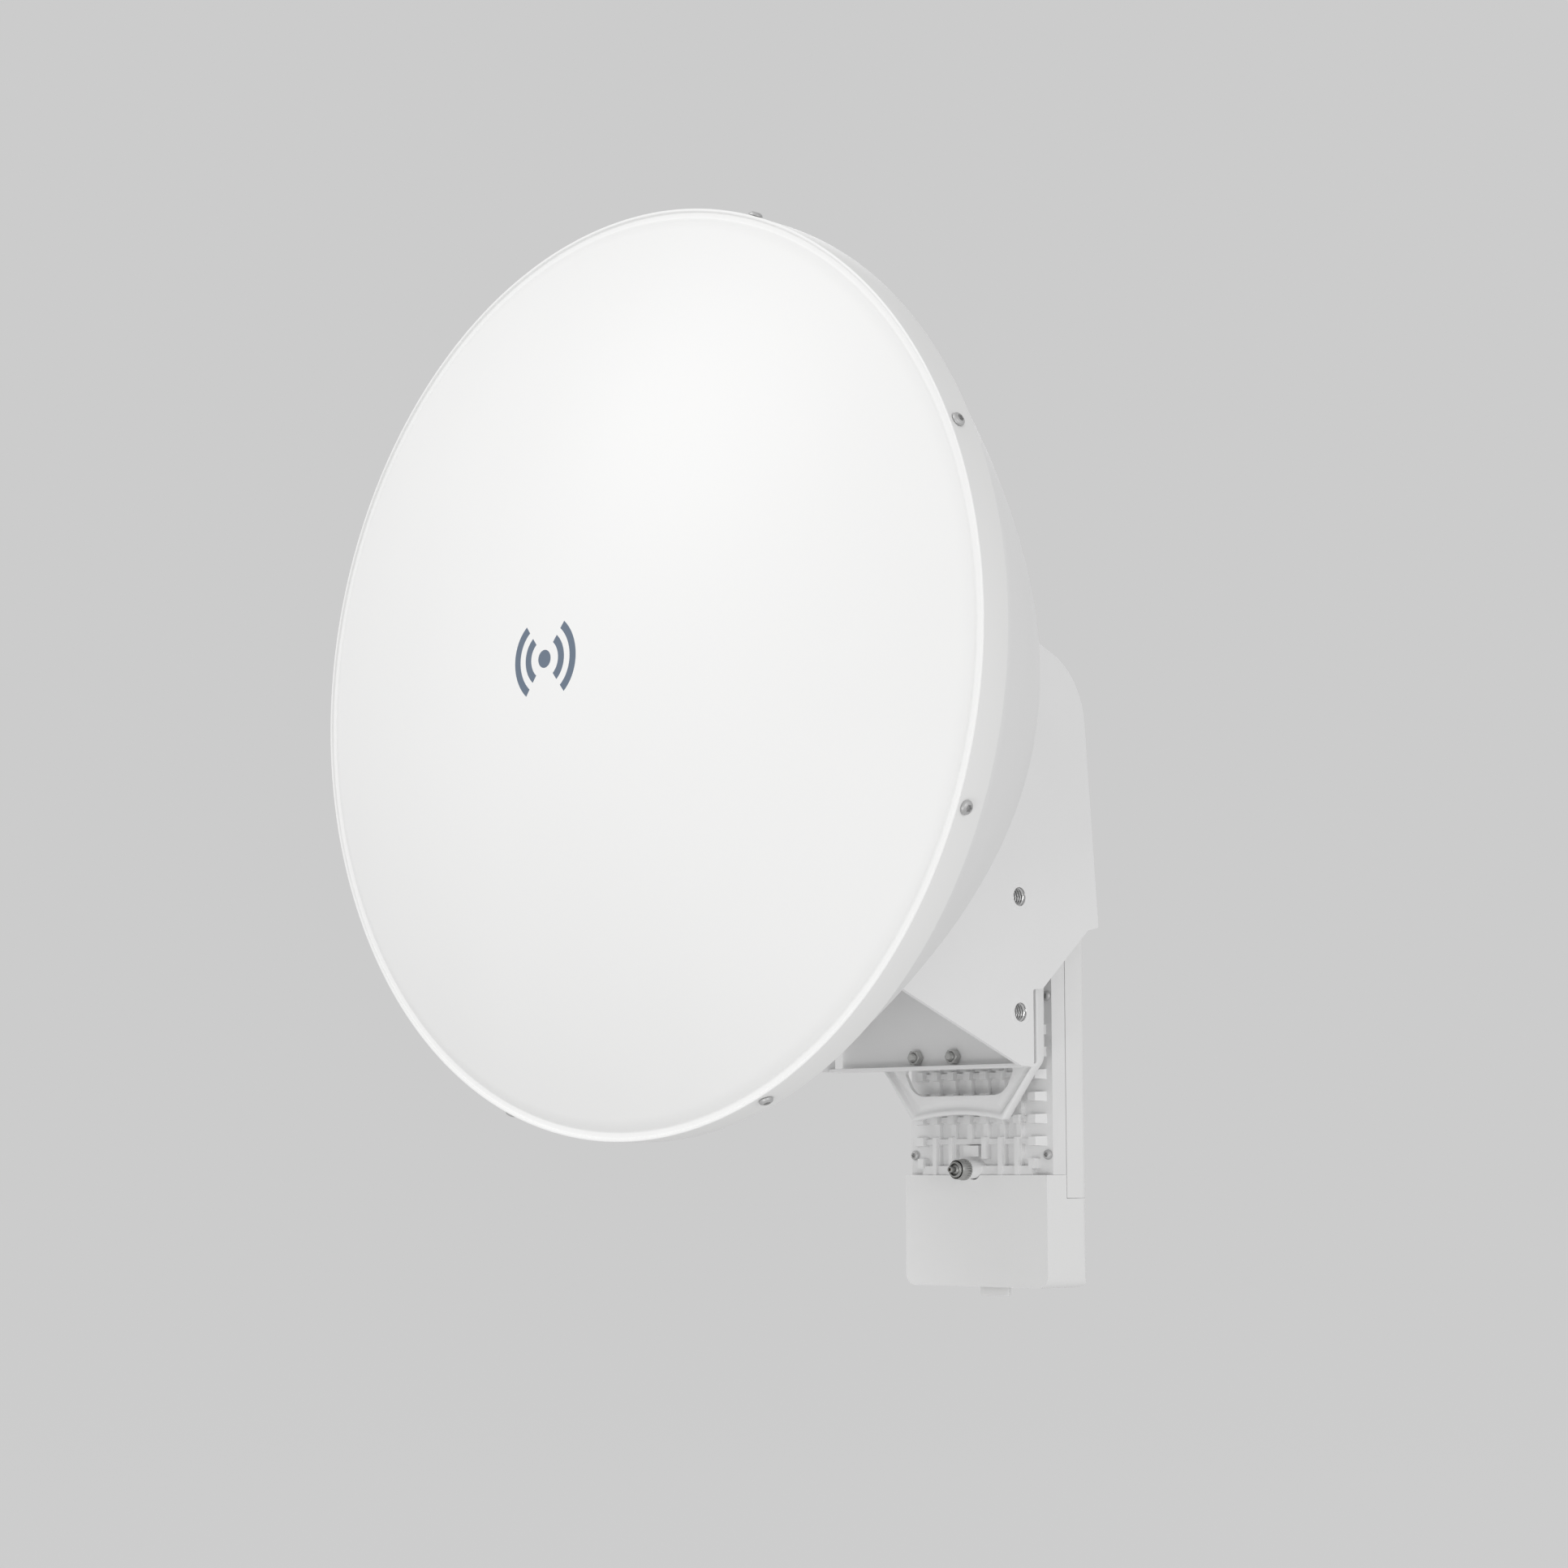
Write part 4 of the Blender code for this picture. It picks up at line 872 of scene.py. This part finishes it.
CRADLE_FRONT = 0.2065
CRADLE_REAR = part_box("cradle")[1].y - RIM.y
FLOOR_FRONT = 0.2080
FLOOR_REAR = 0.2100
CRADLE_TOP = -0.030
CRADLE_BOTTOM = -0.1777
HOOK_X = 0.024
HOOK_ZS = (-0.060, -0.130)


def cradle_outline(inset, fine=6):
    half = 0.0465 - inset
    top, bottom = CRADLE_TOP - inset, CRADLE_BOTTOM + inset
    waist, foot = 0.0415 - inset * 0.9, 0.0262 - inset * 0.6
    arch = []
    for i in range(19):
        across = 1 - 2 * (i + 1) / 20
        arch.append((foot * across, bottom + 0.0026 * (1 - across * across), 0))
    corners = [
        (half, top, 0.006),
        (-half, top, 0.006),
        (-half, -0.1520, 0.008),
        (-waist, -0.1575, 0.006),
        (-foot, bottom, 0.0015),
        *reversed(arch),
        (foot, bottom, 0.0015),
        (waist, -0.1575, 0.006),
        (half, -0.1520, 0.008),
    ]
    return rounded(corners, fine)


def cradle_gutter(z):
    """How deep the gutter inside the rim is at a height: full at the sides, gone at the foot."""
    return max(0.0, min(1.0, (z + 0.1755) / 0.007))


def make_cradle():
    """A formed pan with a rim, a gutter inside the rim's two sides, and a window in its foot."""
    # Each row is an inset from the outline, the depth without the gutter, and the depth with it.
    section = [
        (0.0018, FLOOR_REAR, 0.2110),
        (0.0018, CRADLE_REAR - 0.0003, CRADLE_REAR - 0.0003),
        (0.0015, CRADLE_REAR, CRADLE_REAR),
        (0.0003, CRADLE_REAR, CRADLE_REAR),
        (0.0000, CRADLE_REAR - 0.0003, CRADLE_REAR - 0.0003),
        (0.0000, CRADLE_FRONT + 0.0008, CRADLE_FRONT + 0.0008),
        (0.0002, CRADLE_FRONT + 0.0003, CRADLE_FRONT + 0.0003),
        (0.0007, CRADLE_FRONT, CRADLE_FRONT),
        (0.0014, CRADLE_FRONT + 0.0001, CRADLE_FRONT + 0.0001),
        (0.0019, CRADLE_FRONT + 0.0002, CRADLE_FRONT + 0.0005),
        (0.0022, CRADLE_FRONT + 0.0003, CRADLE_FRONT + 0.0013),
        (0.0026, CRADLE_FRONT + 0.0005, CRADLE_FRONT + 0.0029),
        (0.0032, CRADLE_FRONT + 0.0007, CRADLE_FRONT + 0.0035),
        (0.0039, CRADLE_FRONT + 0.0009, CRADLE_FRONT + 0.0034),
        (0.0050, CRADLE_FRONT + 0.0012, CRADLE_FRONT + 0.0024),
        (0.0060, FLOOR_FRONT - 0.0001, FLOOR_FRONT + 0.0002),
        (0.0070, FLOOR_FRONT, FLOOR_FRONT),
    ]
    back = [
        (0.0072, FLOOR_REAR, FLOOR_REAR),
        (0.0060, FLOOR_REAR, 0.2102),
        (0.0045, FLOOR_REAR, 0.2109),
    ]
    bm = bmesh.new()
    rings = []
    for inset, plain, deep in section + back:
        ring = []
        for x, z in cradle_outline(inset):
            share = cradle_gutter(z)
            ring.append(bm.verts.new((x, plain + (deep - plain) * share, z)))
        rings.append(ring)
    rear = len(section)
    for i in range(rear - 1):
        bridge(bm, rings[i], rings[i + 1])
    bm.faces.new(rings[rear - 1])
    bm.faces.new(rings[rear])
    bridge(bm, rings[rear], rings[rear + 1])
    bridge(bm, rings[rear + 1], rings[rear + 2])
    bridge(bm, rings[rear + 2], rings[0])
    bmesh.ops.recalc_face_normals(bm, faces=bm.faces)

    window = rounded([(0.0325, -0.1542, 0.002), (-0.0325, -0.1542, 0.002),
                      (-0.0262, -0.1667, 0.010), (0.0262, -0.1667, 0.010)], 10)
    hole = prism(window, -0.230, -0.190)
    bmesh.ops.transform(hole, matrix=POINTS["-Y"], verts=hole.verts)
    bm = carved(bm, hole)
    for side in (-1, 1):
        for z in HOOK_ZS:
            hole = prism([(side * HOOK_X + x, z + y) for x, y in keyhole()], -0.215, -0.203)
            bmesh.ops.transform(hole, matrix=POINTS["-Y"], verts=hole.verts)
            bm = carved(bm, hole)
    for side in (-1, 1):
        x, z = side * CRADLE_BOLT[0], CRADLE_BOLT[1]
        outline = [(0.0023, 0.1951, 0.0002), (0.0037, 0.1951, 0.0004), (0.0037, 0.2072, 0),
                   (0.0048, 0.2084, 0), (0.0048, 0.2100, 0), (0.0023, 0.2100, 0.0002)]
        boss = lathe(rounded(outline, 3), 36)
        bmesh.ops.transform(boss, matrix=POINTS["+Y"], verts=boss.verts)
        bmesh.ops.translate(boss, verts=boss.verts, vec=(x, 0, z))
        hole = plug(0.0024, 0.215, 0.190)
        bmesh.ops.transform(hole, matrix=POINTS["+Y"], verts=hole.verts)
        bmesh.ops.translate(hole, verts=hole.verts, vec=(x, 0, z))
        bm = carved(bm, boss, operation="UNION")
        bm = carved(bm, hole)
    sharp = [e for e in bm.edges if e.is_manifold and e.calc_face_angle(0) > radians(60)]
    bmesh.ops.bevel(bm, geom=sharp, offset=0.0003, segments=3, profile=0.5, affect="EDGES",
                    clamp_overlap=True)
    piece("cradle_pan", bm, SHEET, "dish", "cradle", sharp=50)


def bridge(bm, first, second):
    count = len(first)
    for i in range(count):
        j = (i + 1) % count
        bm.faces.new((first[i], first[j], second[j], second[i]))


def keyhole():
    """A hook's slot: a narrow foot that opens upwards into a round hole."""
    head = arc((0, 0.012), 0.0065, radians(-57), radians(237), 26)
    foot = arc((0, 0), 0.0036, pi, 2 * pi, 12)
    return head + [(-0.0036, 0.0065)] + foot + [(0.0036, 0.0065)]


make_cradle()


# Radio

PIN_PITCH_X = 0.0095
PIN_PITCH_Z = 0.0098
PIN_LOWEST = -0.1868
CASTING_FRONT = 0.2235
RADIO_FRONT = 0.219


CASTING_REAR = 0.2323
PIN_FIELD_BOTTOM = -0.2016
EDGE_COLUMN = 0.030
EDGE_PIN_OUTSIDE = 0.036
EDGE_TAPER = 0.003
PIN_TAPER = 0.14
SEAM_RISE = 0.00045
AT_FACE = 0.0002
NEAR_FACE = 0.0004
CRISP = 0.0001


def in_block(x, z):
    """Whether a point lies in the small block beside the satellite-timing port."""
    return -0.0075 < x < 0.0025 and -0.1945 < z < -0.1880


def draft(bm):
    """Tapers the casting's pins a little, as they have to leave their mould."""
    front = RIM.y + CASTING_FRONT
    height = CASTING_FRONT - RADIO_FRONT
    for vert in bm.verts:
        rise = (front - vert.co.y) / height
        x, z = vert.co.x, vert.co.z - RIM.z
        if not 0.2 < rise < 1.2 or z < PIN_FIELD_BOTTOM or in_block(x, z):
            continue
        if abs(x) < EDGE_COLUMN:
            column = (abs(x) - PIN_PITCH_X / 2) / PIN_PITCH_X
            middle = (round(column) * PIN_PITCH_X + PIN_PITCH_X / 2) * (1 if x > 0 else -1)
        else:
            middle = x
        row = round((z - PIN_LOWEST) / PIN_PITCH_Z)
        level = PIN_LOWEST + max(row, 0) * PIN_PITCH_Z
        share = PIN_TAPER * rise
        if abs(x) > EDGE_PIN_OUTSIDE:
            vert.co.x -= (EDGE_TAPER if x > 0 else -EDGE_TAPER) * rise
        vert.co.x -= (x - middle) * share
        if z > PIN_LOWEST - 0.003:
            vert.co.z -= (z - level) * share


def make_heatsink():
    """The casting, with its rear face a little nearer to the rear cover than in CAD."""
    rear = RIM.y + CASTING_REAR

    def shape(bm):
        draft(bm)
        for vert in bm.verts:
            if abs(vert.co.y - rear) < AT_FACE:
                vert.co.y += SEAM_RISE

    foot = (within(high=(FAR, FAR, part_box("heatsink")[0].z + NEAR_FACE)), CRISP, 1)
    bm = cad_shape("heatsink", 0.0005, 3, 25, shape, [foot])
    piece("heatsink_casting", bm, CASTING, "dish", "heatsink", (0, 0, 0), 50, True)


COVER_GAP = 0.0003
CUP_TOP_RISE = 0.00022
CUP_STEP_SHIFT = 0.0003
CUP_STEP_DEPTH = 0.0015
CUP_STEP_NEAR = 0.0001
FOOT_SOFT = 0.00015
CUP_FRONT_SOFT = 0.0016
SEAL_SHARE = 0.5
MOULD_MARK_X, MOULD_MARK_Z = -0.0007, -0.2126


def make_radio_cover(low):
    """The rear cover, with its rim moved a little nearer to the casting than in CAD."""

    def close_seam(bm):
        for vert in bm.verts:
            if vert.co.y < low.y + NEAR_FACE:
                vert.co.y -= SEAM_RISE

    rim = (within(high=(FAR, low.y + NEAR_FACE, FAR)), CRISP, 1)
    foot = (within(high=(FAR, FAR, low.z + NEAR_FACE)), FOOT_SOFT, 1)
    bm = cad_shape("radio_cover", 0.0008, 4, 25, close_seam, [rim, foot])
    piece("radio_back", bm, COVER, "dish", "radio_cover", (0, 0, 0), 50, True)


def make_port_cover(cover_low):
    """The cup, with its top moved a little nearer to the casting and the rear cover than in CAD."""
    low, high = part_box("port_cover")
    step = cover_low.z - COVER_GAP

    def close_top(bm):
        for vert in bm.verts:
            if vert.co.z > high.z - AT_FACE:
                vert.co.z += CUP_TOP_RISE
            above = vert.co.z > step - CUP_STEP_NEAR
            if above and cover_low.y - CUP_STEP_DEPTH < vert.co.y < cover_low.y:
                vert.co.y += CUP_STEP_SHIFT

    rim = (within(low=(-FAR, -FAR, high.z - NEAR_FACE)), CRISP, 1)
    rear_low = (-FAR, cover_low.y - CUP_STEP_DEPTH, step - NEAR_FACE)
    rear_rim = (within(low=rear_low), FOOT_SOFT, 1)
    front = (within(high=(FAR, low.y + NEAR_FACE, FAR)), CUP_FRONT_SOFT, 4)
    bm = cad_shape("port_cover", 0.0007, 4, 25, close_top, [rim, rear_rim, front])
    piece("port_cup", bm, COVER, "port_cover", "port_cover", (0, 0, 0), 50, True)
    mark = lathe([(0.0030, -0.0001), (0.0032, 0.00004), (0.0034, 0.00004), (0.0036, -0.0001)], 48)
    mark = turned_to(mark, "-Y", (MOULD_MARK_X, low.y, RIM.z + MOULD_MARK_Z))
    piece("mould_mark", mark, COVER, "port_cover", (), (0, 0, 0))


def make_seal():
    """The seal, thinner than in CAD because the rear cover's rim has moved nearer."""
    low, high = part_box("radio_seal")

    def thin(bm):
        middle = (low.y + high.y) / 2
        for vert in bm.verts:
            vert.co.y = middle + (vert.co.y - middle) * SEAL_SHARE

    bm = cad_shape("radio_seal", CRISP, 2, 25, thin)
    piece("seal_ring", bm, GREY_RUBBER, "dish", "radio_seal", (0, 0, 0), 50)


def make_covers():
    cover_low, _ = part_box("radio_cover")
    make_radio_cover(cover_low)
    make_port_cover(cover_low)
    bm = cad_shape("cover_latch", 0.0005, 3)
    piece("latch_tongue", bm, COVER, "cover_latch", "cover_latch", (0, 0, 0), 50, True)
    make_seal()


def make_radio_screws():
    for hand in ("left", "right"):
        for level in ("upper", "lower"):
            node = f"radio_screw_{level}_{hand}"
            low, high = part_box(node)
            middle = (low + high) / 2
            head = high.y - low.y - 0.004
            bm = pan_screw(0.0022, head, 0.0011, 0.004, 0.0012)
            turned_to(bm, "-Y", (middle.x, low.y + head, middle.z))
            piece(node + "_pan", bm, RIM_STEEL, "dish", node, (0, 0, 0))


def make_gps_port():
    """A threaded coaxial barrel round a hollow nose, with a flanged, knurled ring behind."""
    low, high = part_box("gps_port")
    ring_low, ring_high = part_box("gps_ring")
    middle = (low + high) / 2
    foot = ring_high.y + 0.0003
    tip = foot - low.y
    length = tip - 0.0031

    def barrel(angle):
        nose = [(0, tip - 0.003), (0.0007, tip - 0.003), (0.0007, tip - 0.0002), (0.0009, tip),
                (0.0011, tip), (0.0013, tip - 0.0002), (0.0013, length - 0.0002)]
        hollow = [(0.0021, length - 0.0008), (0.0022, length - 0.0025), (0.0027, length - 0.0025),
                  (0.0027, length - 0.0002), (0.0029, length), (0.0032, length)]
        thread = threaded(0.0032, 0.0035, 0.0007, length - 0.0002, 0.0060, angle, 8)
        rest = [(0.0033, 0.0057), (0.0033, 0.0002), (0.0028, 0), (0.0028, -0.004), (0, -0.004)]
        return nose + hollow + thread + rest

    bm = turned_to(lathe(barrel, 48, closed=False), "-Y", (middle.x, foot, middle.z))
    piece("gps_barrel", bm, NICKEL, "dish", "gps_port", (0, 0, 0))
    core = lathe([(0, tip - 0.0022), (0.00068, tip - 0.0022), (0.00068, tip - 0.0029),
                  (0, tip - 0.0029)], 24, closed=False)
    turned_to(core, "-Y", (middle.x, foot, middle.z))
    piece("gps_insulator", core, PTFE, "dish", (), (0, 0, 0))
    pin = lathe([(0, tip - 0.0008), (0.0002, tip - 0.0010), (0.00025, tip - 0.0028),
                 (0, tip - 0.0028)], 16, closed=False)
    turned_to(pin, "-Y", (middle.x, foot, middle.z))
    piece("gps_pin", pin, GOLD, "dish", (), (0, 0, 0))

    start, end = foot - ring_high.y, foot - ring_low.y
    teeth = 26

    def knurl(angle):
        tooth = 0.5 + 0.5 * cos(teeth * angle)
        outer = 0.0043 + 0.0005 * min(1, tooth * 1.5)
        flange = [(0.0038, end - 0.0008), (0.0039, end - 0.0002), (0.0041, end),
                  (0.0043, end - 0.0002), (0.0045, end - 0.0035)]
        grip = [(outer - 0.0002, end - 0.0037), (outer, end - 0.0040), (outer, start + 0.0003),
                (outer - 0.0003, start), (0.0038, start)]
        return flange + grip

    bm = turned_to(lathe(knurl, teeth * 8), "-Y", (middle.x, foot, middle.z))
    piece("gps_knurled_ring", bm, NICKEL, "dish", "gps_ring", (0, 0, 0), 60)


make_heatsink()
make_covers()
make_radio_screws()
make_gps_port()


# Cables and connectors


def jack_profile(angle):
    thread = threaded(0.00275, 0.0031, 0.0006, 0.0078, 0.0026, angle, 8)
    socket_end = [(0, 0.005), (0.0018, 0.005), (0.0018, 0.008), (0.0026, 0.008)]
    collar = [(0.0031, 0.0021), (0.0043, 0.0020), (0.0045, 0.0018), (0.0045, 0.0002), (0.0043, 0)]
    return socket_end + thread + collar + [(0, 0)]


def make_coupling_nut(node, points, base):
    """A hexagon nut with a plain collar on its cable's end."""
    outline = [(0.0022, 0.0098, 0.0002), (0.0038, 0.0098, 0.0003), (0.0038, 0.0088, 0),
               (0.0022, 0.0088, 0)]
    shell = hex_solid(0.0078, 0.0032, 0.0092)
    collar = lathe(rounded(outline, 3), 32)
    shell = merge(carved(shell, plug(0.0034, 0.0088, 0.002)), collar)
    turned_to(shell, points, base)
    piece(node + "_hex", shell, NICKEL, node, node, (0, 0, 0), 25)


def make_coax():
    for hand in ("left", "right"):
        for end in ("feed", "radio"):
            node = f"{end}_jack_{hand}"
            low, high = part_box(node)
            base = Vector(((low.x + high.x) / 2, (low.y + high.y) / 2, (low.z + high.z) / 2))
            if end == "feed":
                points = "+Y"
                base.y = low.y
            else:
                points = "+Z"
                base.z = low.z
            bm = turned_to(lathe(jack_profile, 40, closed=False), points, base)
            piece(node + "_thread", bm, NICKEL, "dish", node, (0, 0, 0))
            make_coupling_nut(f"{end}_nut_{hand}", points, base)


def make_jumpers():
    for hand in ("left", "right"):
        route = jumper_route(-1 if hand == "left" else 1)
        curve = bpy.data.curves.new("jumper", "CURVE")
        curve.dimensions = "3D"
        curve.bevel_depth = JUMPER_RADIUS
        curve.bevel_resolution = 7
        curve.use_fill_caps = True
        spline = curve.splines.new("POLY")
        spline.points.add(len(route) - 1)
        for point, place in zip(spline.points, route):
            point.co = (*place, 1)
        curve.materials.append(JACKET)
        cable = bpy.data.objects.new(f"jumper_cable_{hand}", curve)
        cable.location = RIM
        bpy.context.scene.collection.objects.link(cable)
        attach(cable, "dish")
        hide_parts(f"jumper_{hand}")


def jumper_route(side):
    """From the feed's jack rearwards, round a quarter turn, and down to the radio's jack."""
    block_rear, radio_top, gap, jack = 0.2092, -0.027, 0.0003, 0.008
    feed_x, radio_x, radio_y = 0.015, 0.019, 0.2385
    straight = 0.003
    y_start = block_rear + 2 * gap + jack
    z_end = radio_top + 2 * gap + jack
    y_bend, z_bend = y_start + straight, z_end + straight
    route = [(side * feed_x, y_start, 0)]
    turns = 40
    for i in range(turns + 1):
        angle = pi / 2 * i / turns
        across = feed_x + (radio_x - feed_x) * i / turns
        y = y_bend + (radio_y - y_bend) * sin(angle)
        z = z_bend * (1 - cos(angle))
        route.append((side * across, y, z))
    route.append((side * radio_x, radio_y, z_end))
    return route


make_coax()
make_jumpers()


# Inside pieces that keep their CAD shape


WELD_DISTANCE = 0.00001
SOFT_EDGE = 0.00015


def finish_cad():
    """Softens and finishes the hidden pieces, which keep the CAD model's own meshes."""
    finishes = {
        "radome_gasket": RUBBER,
        "hub_plate": ALUMINIUM,
        "feed_tube": ALUMINIUM,
        "feed_cone": DIELECTRIC,
        "feed_disc": ALUMINIUM,
        "feed_block": ALUMINIUM,
        "circuit_board": BOARD,
        "data_jack": TIN,
        "management_jack": TIN,
        "reset_switch": BLACK,
        "reset_button": BLACK,
    }
    for node, finish in finishes.items():
        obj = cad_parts[node]
        obj.data.materials.clear()
        obj.data.materials.append(finish)
        weld = obj.modifiers.new("weld", "WELD")
        weld.merge_threshold = WELD_DISTANCE
        soften = obj.modifiers.new("soften", "BEVEL")
        soften.width = SOFT_EDGE
        soften.segments = 2
        soften.limit_method = "ANGLE"
        soften.angle_limit = radians(35)


finish_cad()
